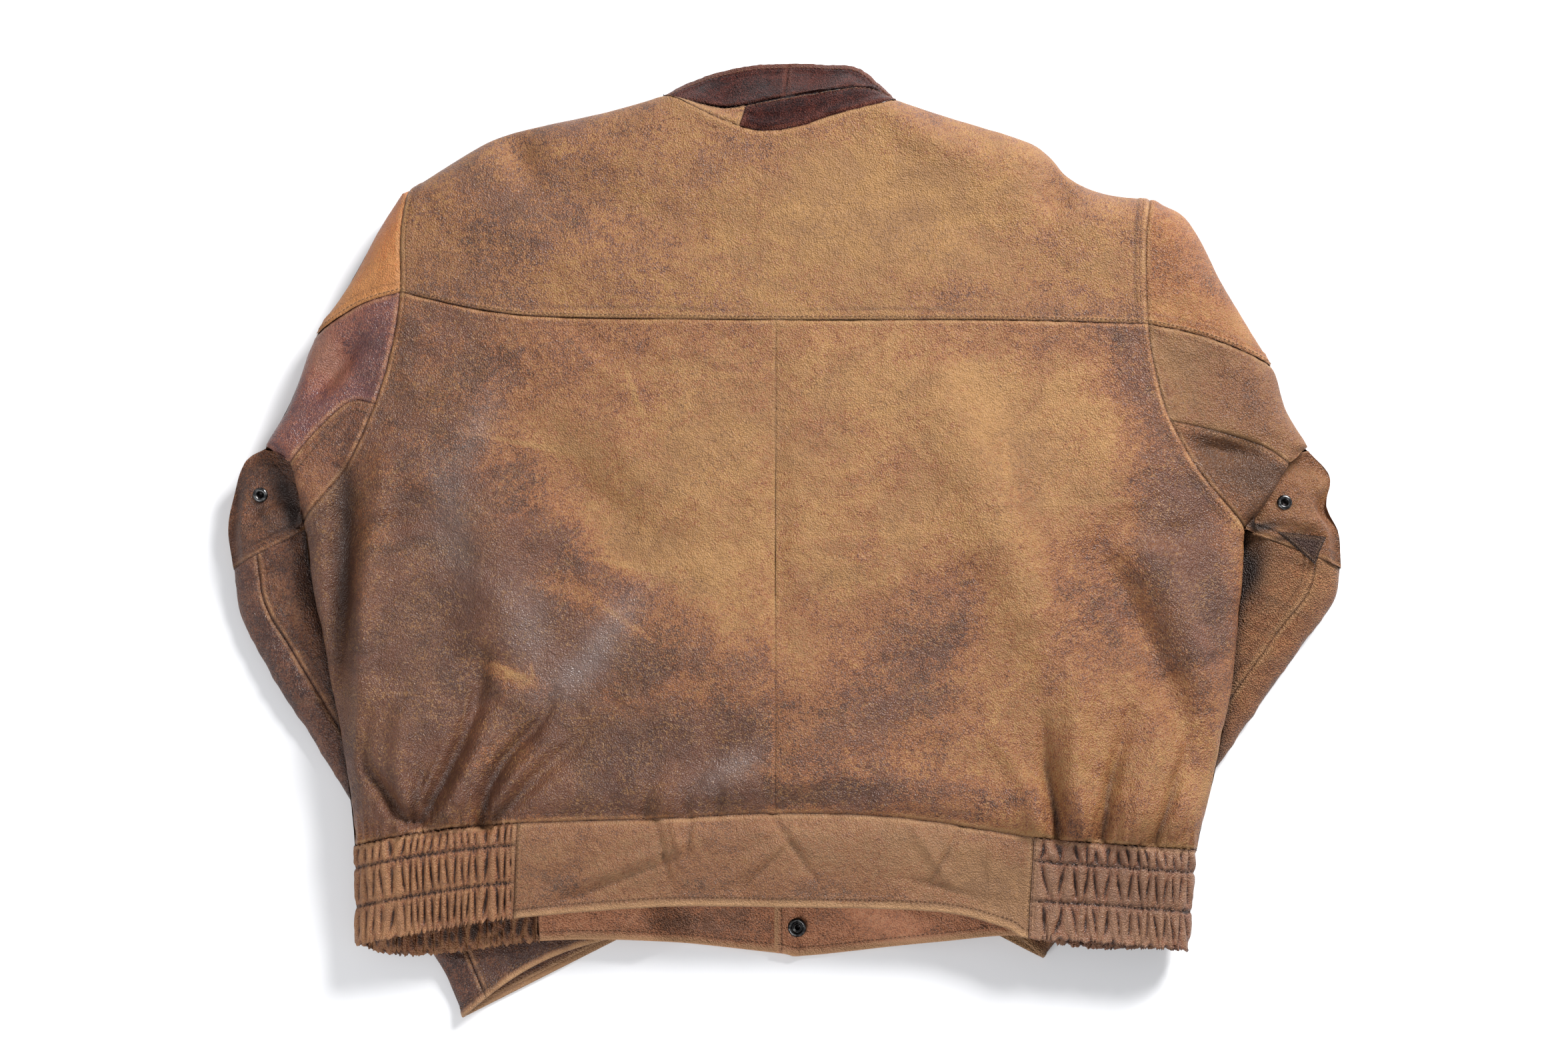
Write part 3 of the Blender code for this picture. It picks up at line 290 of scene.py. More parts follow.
def gathers(x, above):
    """Ridges that run up from the elastic sides of the waistband and fade out in the back."""
    outside_band = ease((BAND_TOP_X[0] - x) / 10) + ease((x - BAND_TOP_X[1]) / 10)
    strength = GATHER_RISE * outside_band * np.exp(-np.abs(above) / GATHER_REACH)
    spread = ripples(np.stack([x, above * 0.25], axis=-1), 15, 92)
    return strength * np.cos(2 * np.pi * gather_turns(x) + 2 * spread)


def top_height(plan):
    """Outside of the back, the yoke and the upper sleeves, with their creases."""
    x, y = plan[..., 0], plan[..., 1]
    level = BACK_HEIGHT - SLEEVE_DROP * ease((np.abs(x - CENTRE_BACK_X) - SLEEVE_START) / SLEEVE_EASE)
    level = level - HEM_DROP * ease((HEM_START_Y - y) / HEM_EASE)
    seam = np.interp(x, [p[0] for p in WAIST_SEAM], [p[1] for p in WAIST_SEAM])
    level = level + WAIST_PUFF * hump(y - seam - PUFF_ABOVE, PUFF_WIDTH) - WAIST_DIP * hump(y - seam, DIP_WIDTH)
    level = level + gathers(x, y - seam) * (y > seam)
    for line, width, height in CREASE_LINES:
        near = np.all(np.abs(plan - line.mean(axis=0)) < np.ptp(line, axis=0) / 2 + 3 * width, axis=-1)
        if near.any():
            d, where = nearest(plan[near], line)
            start = PLEAT_START if line[0][1] < PLEAT_Y else CREASE_START
            level[near] += height * hump(d, width) * swell_along(where / (len(line) - 1), start, CREASE_END)
    drop = np.zeros(plan.shape[:-1])
    for line in OUTLINES:
        d, where = nearest(plan, line[:, :2])
        i = np.arange(len(line))
        fold, roll = np.interp(where, i, line[:, 2]), np.interp(where, i, line[:, 3])
        drop = np.maximum(drop, (level - fold) * (1 - rolled(d, roll)))
    return level - drop


def with_height(plan, height):
    return np.concatenate([plan, height[..., None]], axis=-1)


def normals(grid, up=1, judged=slice(None)):
    """Unit normals of a grid, where the judged columns look up (or down, with up = -1)."""
    n = np.cross(np.gradient(grid, axis=1), np.gradient(grid, axis=0))
    n /= np.maximum(np.linalg.norm(n, axis=-1, keepdims=True), 1e-9)
    return n * up * (1 if n[:, judged, 2].sum() > 0 else -1)


# The relief of a seam, against the distance from it: a groove, or a lapped strip with its stitch line.
STRIP_WIDTH, STRIP_RISE, STITCH_IN, STITCH_DENT = 7.5, 0.8, 4.6, 0.45
TWIN = (2.2, 7.2)                # the two stitch lines of a twin seam, from the seam


def seam_relief(d, kind):
    if kind == "groove":
        return -0.9 * hump(d, 1.3) + 0.25 * hump(d - 4, 3)
    if kind == "fine":
        return -0.5 * hump(d, 1.0)
    if kind == "strip":
        raised = STRIP_RISE * (1 - ease((d - STRIP_WIDTH + 1) / 2))
        return raised - STITCH_DENT * hump(d - STITCH_IN, 0.9) - 0.9 * hump(d, 1.1)
    if kind == "twin":
        raised = STRIP_RISE * (1 - ease((d - STRIP_WIDTH - 1) / 2))
        return raised - STITCH_DENT * (hump(d - TWIN[0], 0.8) + hump(d - TWIN[1], 0.8)) - 0.9 * hump(d, 1.0)
    if kind == "hem":
        return 0.7 * (1 - ease((d - 6) / 2)) - STITCH_DENT * hump(d - STITCH_IN, 0.9)
    return np.zeros_like(d)


WRINKLES = [(34, 0.70), (13, 0.36), (5, 0.12)]          # size and height of the soft wrinkles


def beside_seam(plan, line):
    """Distance from a seam and the place along it; a dense line is thinned out first."""
    return nearest(plan, line[::4] if len(line) > 40 else line)


def relief(plan, seams, seed, wrinkles=1.0, along=0.0, longer=1.0):
    """Small-scale height of a panel: its seams, the puckers beside them, and soft random wrinkles."""
    height = wrinkles * sum(rise * ripples(plan, size, seed + k, along, longer)
                            for k, (size, rise) in enumerate(WRINKLES))
    for line, kind in seams:
        d, where = beside_seam(plan, line)
        pucker = ripples(np.stack([where * 1.7, d * 0.03], axis=-1), 1.0, seed + 3)
        height = height * (1 - 0.7 * hump(d, 5)) + seam_relief(d, kind) + 0.32 * pucker * np.exp(-d / 9)
    return height


def grid_faces(index):
    """Four-sided faces between the neighbours of a grid of point numbers."""
    return np.stack([index[:-1, :-1], index[:-1, 1:], index[1:, 1:], index[1:, :-1]], axis=-1).reshape(-1, 4)


def numbered(grid, first=0):
    """The point numbers of a grid, from a first one on."""
    return first + np.arange(grid.shape[0] * grid.shape[1]).reshape(grid.shape[:2])


def cloth(name, grid, material, slot, up=1, judged=slice(None), **marks):
    """Make a piece of leather from its grid of points, with marks for its material at each point."""
    quads = grid_faces(numbered(grid))
    a, b, c, d = grid[:-1, :-1], grid[:-1, 1:], grid[1:, 1:], grid[1:, :-1]
    if np.cross(c - a, d - b)[:, judged, 2].sum() * up < 0:
        quads = quads[:, ::-1]
    mesh = bpy.data.meshes.new(f"{name}_hide")
    mesh.from_pydata(((grid + SHIFT) * MM).reshape(-1, 3), [], quads.tolist())
    for mark, values in marks.items():
        layer = mesh.attributes.new(mark, "FLOAT", "POINT")
        layer.data.foreach_set("value", np.broadcast_to(values, grid.shape[:2]).astype(np.float32).ravel())
    mesh.shade_smooth()
    mesh.materials.append(material)
    thing = bpy.data.objects.new(f"{name}_hide", mesh)
    bpy.context.scene.collection.objects.link(thing)
    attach(thing, "root")
    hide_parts(name)
    return thing


# The back's leather: tan where it is rubbed, dark where the finish has stayed.  Each patch is an ellipse.
PATCHES = [
    # name                    centre x, y     half sizes     turn   amount: above 0 rubbed, below 0 dark
    ("left low dark",         (-235, -50),    (95, 170),     12,   -0.72),
    ("left low corner",       (-285, -150),   (50, 90),      -8,   -0.75),
    ("left centre dark",      (-150, -120),   (90, 60),      -25,  -0.22),
    ("left up dark",          (-240, 90),     (50, 60),      0,    -0.15),
    ("centre low dark",       (-95, -175),    (75, 26),      8,    -1.10),
    ("waist strip",           (-60, -205),    (190, 15),     -1,   -0.70),
    # painted shade along the body's rolled left side, over its dark finish
    ("left side finish and shade",      (-334, -80),    (14, 120),     0,    -2.20),
    ("left rubbed one",       (-205, -115),   (34, 7),       -20,   0.80),
    ("left rubbed two",       (-110, -20),    (70, 20),      -28,   0.55),
    ("left rubbed three",     (-160, 50),     (90, 26),      -12,   0.35),
    ("left rubbed four",      (-60, 20),      (60, 90),      5,     0.35),
    ("left rubbed five",      (-150, -60),    (40, 14),      -30,   0.55),
    ("centre rubbed",         (10, -60),      (50, 110),     0,     0.10),
    ("right light",           (110, 10),      (120, 110),    -15,   0.40),
    ("right edge light",      (190, 80),      (80, 36),      -10,   0.35),
    ("right low dark",        (65, -150),     (60, 34),      10,   -0.45),
    ("right hollow dark",     (120, -75),     (34, 70),      -20,  -0.55),
    ("right side dark",       (262, 80),      (26, 70),      10,   -0.40),
    ("right side brown",      (225, -60),     (30, 60),      25,   -0.45),
    ("right low light",       (225, -190),    (60, 40),      0,     0.12),
    ("right edge brown",      (292, -30),     (36, 80),      8,    -1.05),
    ("centre brown",          (-70, -110),    (50, 34),      -20,  -0.25),
    ("right tan brown",       (70, -90),      (60, 50),      0,    -0.25),
    ("right top brown",       (250, 140),     (60, 20),      -5,   -0.40),
    ("yoke left dark",        (-190, 225),    (90, 42),      -12,  -0.28),
    ("yoke top mottle",       (-70, 275),     (70, 24),      0,    -0.30),
    ("yoke gold",             (75, 235),      (80, 48),      -10,   0.90),
    ("yoke centre tan",       (-20, 210),     (90, 40),      -8,    0.30),
    ("yoke seam dark",        (150, 165),     (90, 12),      0,    -0.10),
    ("yoke right brown",      (215, 190),     (50, 40),      -20,  0.15),
    ("yoke left edge dark",   (-255, 170),    (34, 26),      -10,  -0.15),
    ("shoulder left dark",    (-150, 300),    (60, 14),      15,   -0.30),
]
GLAZE_AND_SHEEN = [
    # smooth dark spots that shine, with a painted cool sheen in their colour
    ("left blade",            (-240, -10),    (16, 46),      14,    0.6),
    ("left centre",           (-186, -86),    (16, 36),      16,    0.6),
    ("left arc",              (-128, -88),    (12, 36),      -38,   0.8),
    ("left arc end",          (-150, -118),   (26, 12),      30,    0.7),
    ("waist",                 (-40, -186),    (26, 10),      28,    0.7),
    ("left side",             (-348, -70),    (6, 80),       4,     0.7),
    ("left up",               (-226, 60),     (12, 30),      -20,   0.5),
]


def painted(plan, patches):
    """The sum of soft ellipses at plan points."""
    total = np.zeros(plan.shape[:-1])
    for _, centre, half, turn, amount in patches:
        a = np.radians(turn)
        q = (plan - centre) @ np.array([[np.cos(a), -np.sin(a)], [np.sin(a), np.cos(a)]]) / half
        total += amount * np.exp(-(q**2).sum(axis=-1))
    return total


def scaled(colour, strength):
    return tuple(strength * channel for channel in colour)


class Shader:
    """A material's node tree, built a node at a time."""

    def __init__(self, name):
        self.material = bpy.data.materials.new(name)
        self.material.use_nodes = True
        self.tree = self.material.node_tree
        self.surface = self.tree.nodes["Principled BSDF"]
        self.place = self.node("ShaderNodeTexCoord").outputs["Object"]

    def feed(self, socket, value):
        """Link an output to a socket, or set the socket's own value."""
        if isinstance(value, bpy.types.NodeSocket):
            self.tree.links.new(value, socket)
        else:
            socket.default_value = value

    def node(self, kind, settings=None, **inputs):
        """A new node; an input is given by its name, or by its number as i0, i1 and so on."""
        made = self.tree.nodes.new(kind)
        for key, value in (settings or {}).items():
            setattr(made, key, value)
        for key, value in inputs.items():
            numbered_input = key[0] == "i" and key[1:].isdigit()
            self.feed(made.inputs[int(key[1:]) if numbered_input else key.replace("_", " ")], value)
        return made

    def finish(self, **inputs):
        """Set the surface's inputs, and hand the material over."""
        for key, value in inputs.items():
            self.feed(self.surface.inputs[key.replace("_", " ")], value)
        return self.material

    def noise(self, scale, detail=3.0, roughness=0.55, stretch=None, distortion=0.0):
        place = self.place
        if stretch:
            turned = self.node("ShaderNodeMapping", i0=place, Rotation=(0, 0, stretch[1]))
            place = self.node("ShaderNodeMapping", i0=turned.outputs[0], Scale=(1 / stretch[0], 1, 1)).outputs[0]
        return self.node("ShaderNodeTexNoise", Vector=place, Scale=scale, Detail=detail, Roughness=roughness,
                         Distortion=distortion).outputs["Fac"]

    def cells(self, scale, feature="F1", wobble=0.0):
        place = self.place
        if wobble:
            shift = self.node("ShaderNodeTexNoise", Vector=place, Scale=scale * 0.6).outputs["Color"]
            place = self.node("ShaderNodeMix", {"data_type": "VECTOR"}, i0=wobble / scale, i4=place, i5=shift)
            place = self.node("ShaderNodeVectorMath", {"operation": "ADD"}, i0=self.place,
                              i1=place.outputs[1]).outputs[0]
        return self.node("ShaderNodeTexVoronoi", {"feature": feature}, Vector=place,
                         Scale=scale).outputs["Distance"]

    def range(self, value, low, high, out_low=0.0, out_high=1.0):
        return self.node("ShaderNodeMapRange", {"interpolation_type": "SMOOTHSTEP"}, i0=value, i1=low, i2=high,
                         i3=out_low, i4=out_high).outputs[0]

    def times(self, first, second):
        return self.node("ShaderNodeMath", {"operation": "MULTIPLY"}, i0=first, i1=second).outputs[0]

    def sum(self, *terms):
        """Add up (value, weight) pairs."""
        total = None
        for value, weight in terms:
            settings = {"operation": "MULTIPLY_ADD" if total is not None else "MULTIPLY"}
            extra = {"i2": total} if total is not None else {}
            total = self.node("ShaderNodeMath", settings, i0=value, i1=weight, **extra).outputs[0]
        return total

    def mix(self, fraction, first, second):
        as_colour = [c if isinstance(c, bpy.types.NodeSocket) else (*c, 1) for c in (first, second)]
        return self.node("ShaderNodeMix", {"data_type": "RGBA"}, i0=fraction, i6=as_colour[0],
                         i7=as_colour[1]).outputs[2]

    def mark(self, name):
        return self.node("ShaderNodeAttribute", {"attribute_name": name}).outputs["Fac"]


EXPOSED = 0.73                   # all leather colours are scaled to suit the strength of the lights
RUSSET = (1.20, 0.96, 0.80)      # the half worn finish is redder than the mean of finish and body
# the cool grey mixed into glazed spots: a painted sheen
PAINTED_SHEEN = (0.190, 0.142, 0.130)
# the pale edge colour: rubbed wear at turned edges, and a painted highlight beside seams
EDGE_TAN = (0.56, 0.31, 0.15)


def leather(name, rubbed, finish, balance=0.0, mottle=0.9, speckle=0.8, crackle=0.35, pebble=0.5, gloss=0.5,
            turn=0.0, shine=0.37):
    """Aniline cowhide: a dark finish worn through to a paler body, with grain, cracks and scratches.

    balance shifts the whole piece towards rubbed (above 0) or finish (below 0).
    """
    shader = Shader(name)
    rubbed, finish = scaled(rubbed, EXPOSED), scaled(finish, EXPOSED)
    russet = tuple(k * (a * b)**0.5 for a, b, k in zip(rubbed, finish, RUSSET))
    broad = shader.noise(9, 2, 0.6, distortion=0.6)
    cloudy = shader.noise(34, 6, 0.80, stretch=(1.3, turn))
    streaks = shader.noise(42, 5, 0.76, stretch=(3.2, turn + 0.25), distortion=0.4)
    spots = shader.noise(190, 3, 0.9)
    grain = shader.noise(800, 1, 0.8)
    tone = shader.sum((shader.mark("tone"), 1.0), (broad, 1.1 * mottle), (cloudy, 1.8 * mottle),
                      (streaks, 0.7 * mottle), (spots, 1.7 * speckle), (grain, 2.0 * speckle))
    middle = 1.8 * mottle + 1.85 * speckle - balance
    wear = shader.range(tone, middle - 0.58, middle + 0.58)
    worn_down, worn_through = shader.range(wear, 0.0, 0.52), shader.range(wear, 0.42, 1.0)

    # the colour: dark finish, russet where it thins, bare body; then cracks, scratches, a painted sheen, pale edges
    # and dirt with painted shade
    half = tuple(0.62 * a + 0.38 * b for a, b in zip(rubbed, finish))
    uneven = shader.range(shader.noise(19, 4, 0.72, distortion=1.0), 0.36, 0.66)
    dark = shader.mix(uneven, finish, scaled(finish, 0.55))
    pale = shader.mix(uneven, rubbed, half)
    colour = shader.mix(worn_through, shader.mix(worn_down, dark, russet), pale)
    cracks = shader.cells(190, "DISTANCE_TO_EDGE", wobble=0.9)
    where = shader.range(shader.noise(24, 2), 0.42, 0.7)
    crack = shader.times(shader.range(cracks, 0.0, 0.09, 1, 0), where)
    line = shader.mix(wear, scaled(half, 1.5), scaled(finish, 0.7))
    colour = shader.mix(shader.times(crack, crackle), colour, line)
    scratch = shader.range(shader.noise(120, 2, 0.5, stretch=(14, turn + 0.5)), 0.70, 0.78)
    fine = shader.range(shader.noise(90, 2, 0.5, stretch=(18, turn - 0.9)), 0.72, 0.79)
    colour = shader.mix(shader.sum((scratch, 0.28), (fine, 0.22)), colour, scaled(rubbed, 1.12))
    pits = shader.range(shader.noise(380, 3, 0.95), 0.53, 0.60)
    patchy = shader.range(shader.noise(28, 2, 0.7, stretch=(3, turn)), 0.38, 0.62, 0.22, 0.62)
    colour = shader.mix(shader.times(pits, patchy), colour, scaled(finish, 0.8))
    tips = shader.range(shader.noise(420, 3, 0.95), 0.53, 0.59)
    bare = shader.range(shader.noise(46, 2, 0.7, stretch=(1.5, turn)), 0.36, 0.64, 0.14, 0.54)
    colour = shader.mix(shader.times(tips, bare), colour, rubbed)
    # painted sheen: the glazed spots are tinted cool grey
    colour = shader.mix(shader.times(shader.mark("glaze_and_sheen"), 0.6), colour, PAINTED_SHEEN)
    # pale edges: rubbed wear at hems, and a painted highlight on the raised edge beside seams
    colour = shader.mix(shader.mark("edge"), colour, scaled(EDGE_TAN, EXPOSED))
    # dirt in seams, and painted shade in creases and hollows, as a near-black finish
    colour = shader.mix(shader.mark("dirt_and_shade"), colour, scaled(finish, 0.22))

    # the finish shines where it has stayed, and is dull where it is worn through
    dull = shader.sum((wear, 0.17), (grain, 0.16), (shader.mark("glaze_and_sheen"), -0.28), (uneven, 0.05))
    rough = shader.node("ShaderNodeMath", {"operation": "ADD"}, i0=dull, i1=0.45 - 0.3 * gloss)

    # pebbled grain, fine creases and soft lumps, in relief
    pebbles = shader.cells(900)
    creases = shader.noise(240, 3, 0.75, stretch=(1.4, turn + 1.2), distortion=0.8)
    lumps = shader.noise(70, 2, 0.5)
    height = shader.sum((pebbles, 0.6 * pebble), (creases, 0.55), (lumps, 0.9))
    bump = shader.node("ShaderNodeBump", Height=height, Strength=1.0, Distance=0.0022)
    return shader.finish(Base_Color=colour, Roughness=rough.outputs[0], Specular_IOR_Level=shine,
                         Normal=bump.outputs[0])


TAN, BROWN = (0.455, 0.236, 0.084), (0.158, 0.062, 0.036)
back_leather = leather("back_leather", TAN, BROWN, balance=0.02, turn=-0.5)
SCRATCHES = [
    # from          to
    ((176, 7),      (262, 11)),
    ((47, 68),      (112, 86)),
    ((98, 221),     (121, 174)),
    ((-217, -106),  (-176, -126)),
    ((-180, -124),  (-184, -104)),
    ((-150, -30),   (-70, -46)),
    ((-140, -62),   (-90, -96)),
    ((-60, 40),     (-58, -10)),
    ((20, -40),     (70, -52)),
    ((-235, 60),    (-130, 42)),
    ((-120, 118),   (-100, 60)),
]
NARROW, DEEP = 7, -12            # dirt and painted shade darken troughs that are this narrow or this deep


def marks_near(plan, seams, patches=(), glaze_and_sheen=()):
    """Marks for the leather: rubbed and with a painted highlight on a seam's raised edge, dirty in its groove, dirt
    and painted shade in creases.
    """
    tone, dirt_and_shade, edge = painted(plan, patches), np.zeros(plan.shape[:-1]), np.zeros(plan.shape[:-1])
    for line, kind in seams:
        d, where = beside_seam(plan, line)
        ragged = 0.6 + 0.4 * ripples(np.stack([where * 1.3, d * 0.02], axis=-1), 1.0, 7)
        if kind == "fine":
            tone = tone + 0.35 * ragged * hump(d - 1.2, 1.2)
            dirt_and_shade = np.maximum(dirt_and_shade, 0.3 * hump(d, 0.8))
            continue
        if kind == "hem":
            edge = np.maximum(edge, (0.55 + 0.35 * ragged) * hump(d, 2.4))
            tone = tone + 2.2 * ragged * hump(d, 3.0)
            dirt_and_shade = np.maximum(dirt_and_shade, 0.35 * hump(d - STITCH_IN, 0.8))
            continue
        # the raised edge beside the seam is paler: partly rubbed wear, partly a painted highlight
        tone = tone + 0.5 * ragged * hump(d - 1.8, 1.5)
        edge = np.maximum(edge, 0.45 * ragged * hump(d - 2.0, 1.1))
        dirt_and_shade = np.maximum(dirt_and_shade, 0.45 * hump(d, 0.8))
        if kind in ("strip", "twin"):
            dirt_and_shade = np.maximum(dirt_and_shade, 0.35 * hump(d - STRIP_WIDTH - 0.6, 0.9))
    # darker along narrow or deep creases: dirt, and painted shade in the trough
    for line, width, height in CREASE_LINES:
        narrow = width < NARROW
        if height < 0 and (narrow or height < DEEP):
            d, where = nearest(plan, line)
            dark, spread = min(0.9, 0.15 - height / 16), 2.6 if narrow else 0.75 * width
            dirt_and_shade = np.maximum(dirt_and_shade, dark * hump(d, spread) * swell_along(where / len(line), 0.35, 1.35))
    for start, end in SCRATCHES:
        d, where = nearest(plan, np.array([start, end], float))
        tone = tone + 0.9 * hump(d, 1.3) * swell_along(where, 0)
    return dict(tone=tone, dirt_and_shade=np.clip(dirt_and_shade, 0, 1), edge=np.clip(edge, 0, 1), glaze_and_sheen=painted(plan, glaze_and_sheen))


armholes = [split(curve(side_points(ARMHOLE, side)), ARMHOLE[2][1 + side], ARMHOLE[4][1 + side]) for side in (0, 1)]
yoke_line, waist_line = curve(YOKE_SEAM), curve(WAIST_SEAM)
TOP = {}                         # the finished grids of the pieces, for what is sewn or pressed on them


def shell(name, plan, seams, seed, material, slot, glaze_and_sheen=(), patches=PATCHES, **how):
    """A piece of the top layer: its plan raised to its height, with its relief."""
    grid = with_height(plan, top_height(plan))
    grid = grid + normals(grid) * relief(plan, seams, seed, **how)[..., None]
    TOP[name] = grid
    return cloth(name, grid, material, slot, **marks_near(plan, seams, patches, glaze_and_sheen))


flanks = [split(curve(side_points(SIDE, side))[::-1, :2], SIDE[1][1 + side])[0] for side in (0, 1)]
for side, name in enumerate(NAMES):
    head, blade, pit = armholes[side]
    outer = join(blade, pit, flanks[side])
    yoke_half = stretch(yoke_line, CENTRE_BACK_X, outer[0, 0])
    waist_half = stretch(waist_line, CENTRE_BACK_X, outer[-1, 0])
    centre = np.array([yoke_half[0], waist_half[0]])
    seams = [(yoke_half, "groove"), (waist_half, "groove"), (centre, "fine"), (join(blade, pit), "strip")]
    back = shell(f"back_{name}", fill(yoke_half, waist_half, centre, outer), seams, 11 + side, back_leather,
                 "back_leather", glaze_and_sheen=GLAZE_AND_SHEEN, wrinkles=1.8, along=-0.6 + 1.0 * side, longer=1.8)


# ---- The yoke: one wide piece of cowhide across the shoulders, lapped over the back panels and stitched.
# Its ends are set into the armholes, and its neck edge takes the collar stand.

NECK_SEAM = [(-92, 322), (-71, 311), (-44, 298), (-18, 290), (10, 293), (39, 303), (73, 312), (84, 319)]
neck_line = curve(NECK_SEAM)
shoulders = [split(curve(side_points(SHOULDER, side)), SHOULDER[1][1 + side])[1] for side in (0, 1)]
yoke_leather = leather("yoke_leather", (0.42, 0.215, 0.072), (0.170, 0.074, 0.046), balance=0.08, mottle=1.10,
                       speckle=1.15, turn=0.3)
heads = [armholes[side][0] for side in (0, 1)]
yoke_top = join(shoulders[0], neck_line, shoulders[1][::-1])
yoke_base = stretch(yoke_line, heads[0][-1, 0], heads[1][-1, 0])
plan = fill(yoke_base, yoke_top, heads[0][::-1], heads[1][::-1])
seams = [(yoke_base, "strip"), (heads[0], "strip"), (heads[1], "strip"), (neck_line, "groove")]
yoke = shell("back_yoke", plan, seams, 21, yoke_leather, "back_leather", along=0.35, longer=2.2)

# ---- The sleeve caps: a short panel at the head of each sleeve, the most rubbed leather of the jacket.
# Each is set into the armhole and lapped over the upper sleeve below it.

CAP_SEAM = [(-284, 166), (-316, 157), (-350, 138)], [(269, 142), (312, 133), (364, 114)]
CAP_PATCHES = [
    [("top", (-290, 225), (40, 30), 0, -0.5), ("low", (-330, 160), (50, 16), -15, 0.3)],
    [("top", (290, 215), (40, 30), 0, 0.4), ("low", (320, 150), (50, 16), -15, 0.5)],
]
cap_leathers = [
    leather("worn_orange_leather", (0.67, 0.285, 0.090), (0.36, 0.130, 0.048), balance=0.35, mottle=0.6,
            speckle=0.7, turn=1.2),
    leather("right_cap_leather", (0.41, 0.195, 0.062), (0.180, 0.066, 0.029), balance=-0.10, mottle=1.0,
            speckle=1.0, turn=-0.5),
]
cap_edges, blade_edges, cap_seams = [], [], []
for side, name in enumerate(NAMES):
    edge = curve(side_points(SLEEVE_EDGE, side))[::-1]
    cap_edge, blade_edge = split(edge, CAP_SEAM[side][-1])
    cap_edges.append(cap_edge)
    blade_edges.append(blade_edge)
    cap_seams.append(curve(CAP_SEAM[side]))
    head = heads[side]
    plan = fill(np.array([head[0], cap_edge[0]]), cap_seams[side], head, cap_edge)
    seams = [(head, "groove"), (cap_seams[side], "strip")]
    cap = shell(f"sleeve_cap_{name}", plan, seams, 31 + side, cap_leathers[side], "worn_orange",
                patches=CAP_PATCHES[side], along=1.2, longer=1.5)

# ---- The upper sleeves: from the cap down to the underarm piece, creased where the arm bends.
# The left one is cut from dark red-brown hide, the right one from tan.

GUSSET_SEAM = [(-301, 82), (-320, 84), (-343, 64), (-363, 39)], [(284, 69), (314, 63), (350, 52), (371, 38)]
UPPER_PATCHES = [
    [("rubbed ridge", (-338, 118), (14, 24), 30, 0.8), ("middle", (-310, 120), (14, 40), 0, -0.3)],
    [("tan head", (300, 118), (30, 20), 0, 0.4), ("low brown", (350, 80), (24, 30), 0, -0.3)],
]
upper_leathers = [
    leather("dark_red_leather", (0.39, 0.170, 0.100), (0.170, 0.070, 0.070), balance=-0.25, gloss=0.9, turn=0.9),
    leather("right_sleeve_leather", (0.29, 0.142, 0.052), (0.130, 0.056, 0.030), balance=0.1, turn=0.7),
]
gusset_seams, lower_edges = [], []
for side, name in enumerate(NAMES):
    blade, blade_edge = armholes[side][1], blade_edges[side]
    gusset_seam = curve(GUSSET_SEAM[side])
    gusset_seams.append(gusset_seam)
    lower_edge = join(gusset_seam, np.array([gusset_seam[-1], blade_edge[-1]]))
    lower_edges.append(lower_edge)
    seams = [(cap_seams[side], "groove"), (blade, "groove"), (gusset_seam, "groove")]
    upper = shell(f"sleeve_upper_{name}", fill(cap_seams[side], lower_edge, blade, blade_edge), seams, 41 + side,
                  upper_leathers[side], ("dark_leather", "back_leather")[side], patches=UPPER_PATCHES[side],
                  wrinkles=1.7, along=(0.8, -0.5)[side], longer=2.4)

# ---- The underarm pieces, of the sleeves' hide: each is sewn into the armhole, rolls in under itself at the
# fold of the arm, and comes out again below as the part with the air eyelet, down to the elbow's seam.

FOREARM = [
    # section        left outer      left inner      right outer     right inner
    ("elbow",       (-409, -37), (-347, -6), (414, -36), (339, -10)),
    ("below elbow", (-403, -72), (-338, -36), (409, -60), (332, -36)),
    ("bulge",       (-381, -109), (-305, -66), (388, -88), (300, -58)),
    ("upper",       (-350, -158), (-264, -106), (357, -130), (268, -84)),
    ("middle",      (-319, -207), (-218, -152), (318, -182), (228, -118)),
    ("lower",       (-284, -262), (-170, -212), (264, -242), (172, -172)),
    ("wrist",       (-256, -312), (-136, -262), (216, -290), (112, -222)),
    ("mouth",       (-233, -362), (-115, -303), (189, -320), (76, -262)),
]
ELBOW_EDGE = [(-383, 53), (-400, 42), (-409, 16), (-413, -8), (-409, -37)], \
             [(387, 52), (405, 32), (403, 10), (412, -10), (414, -36)]
ARM_TOP = [(-330, 12.0), (-110, 15.0), (-78, 16.0), (-36, 20.0), (0, 27.0), (40, 31.0)]
ARM_EDGE = [(-330, 5.5), (-110, 7.0), (-36, 10.0), (0, 15.0), (30, 20.0), (50, 24.0)]
ARM_ROLL = 16.0
ARM_LINES = [tuple(curve([row[column + 2 * side] for row in FOREARM], 6) for column in (1, 2)) for side in (0, 1)]
FOLD_PROFILE = [(0, 0), (1.2, 2.8), (4.0, 4.2), (9.5, 4.2), (12.0, 6.8), (9.5, 9.4)]   # depth in, height down
START_FADE = 1.6                 # how soon the fold is clear of the start of the lower part
FOLD_SHARE = 0.5                 # of the way from the lip to the elbow seam, at the armpit end
ELBOW_START = 0.03               # the lower part starts this far along the elbow's edge
SHORT_OF_EDGE = 0.12             # the lip stops this share of the way from the armpit to the elbow's edge
LIP_CUT = 6                      # points of the lip that give way to its straight end


def along_y(table, y):
    return np.interp(y, [row[0] for row in table], [row[1] for row in table])


def arm_height(plan, side):
    """Outside of the lower sleeve."""
    outer = join(curve(ELBOW_EDGE[side], 6), ARM_LINES[side][0])
    level, fold = along_y(ARM_TOP, plan[..., 1]), along_y(ARM_EDGE, plan[..., 1])
    drop = np.zeros(plan.shape[:-1])
    for line in (outer, ARM_LINES[side][1]):
        d, _ = nearest(plan, line)
        drop = np.maximum(drop, (level - fold) * (1 - rolled(d, ARM_ROLL)))
    return level - drop


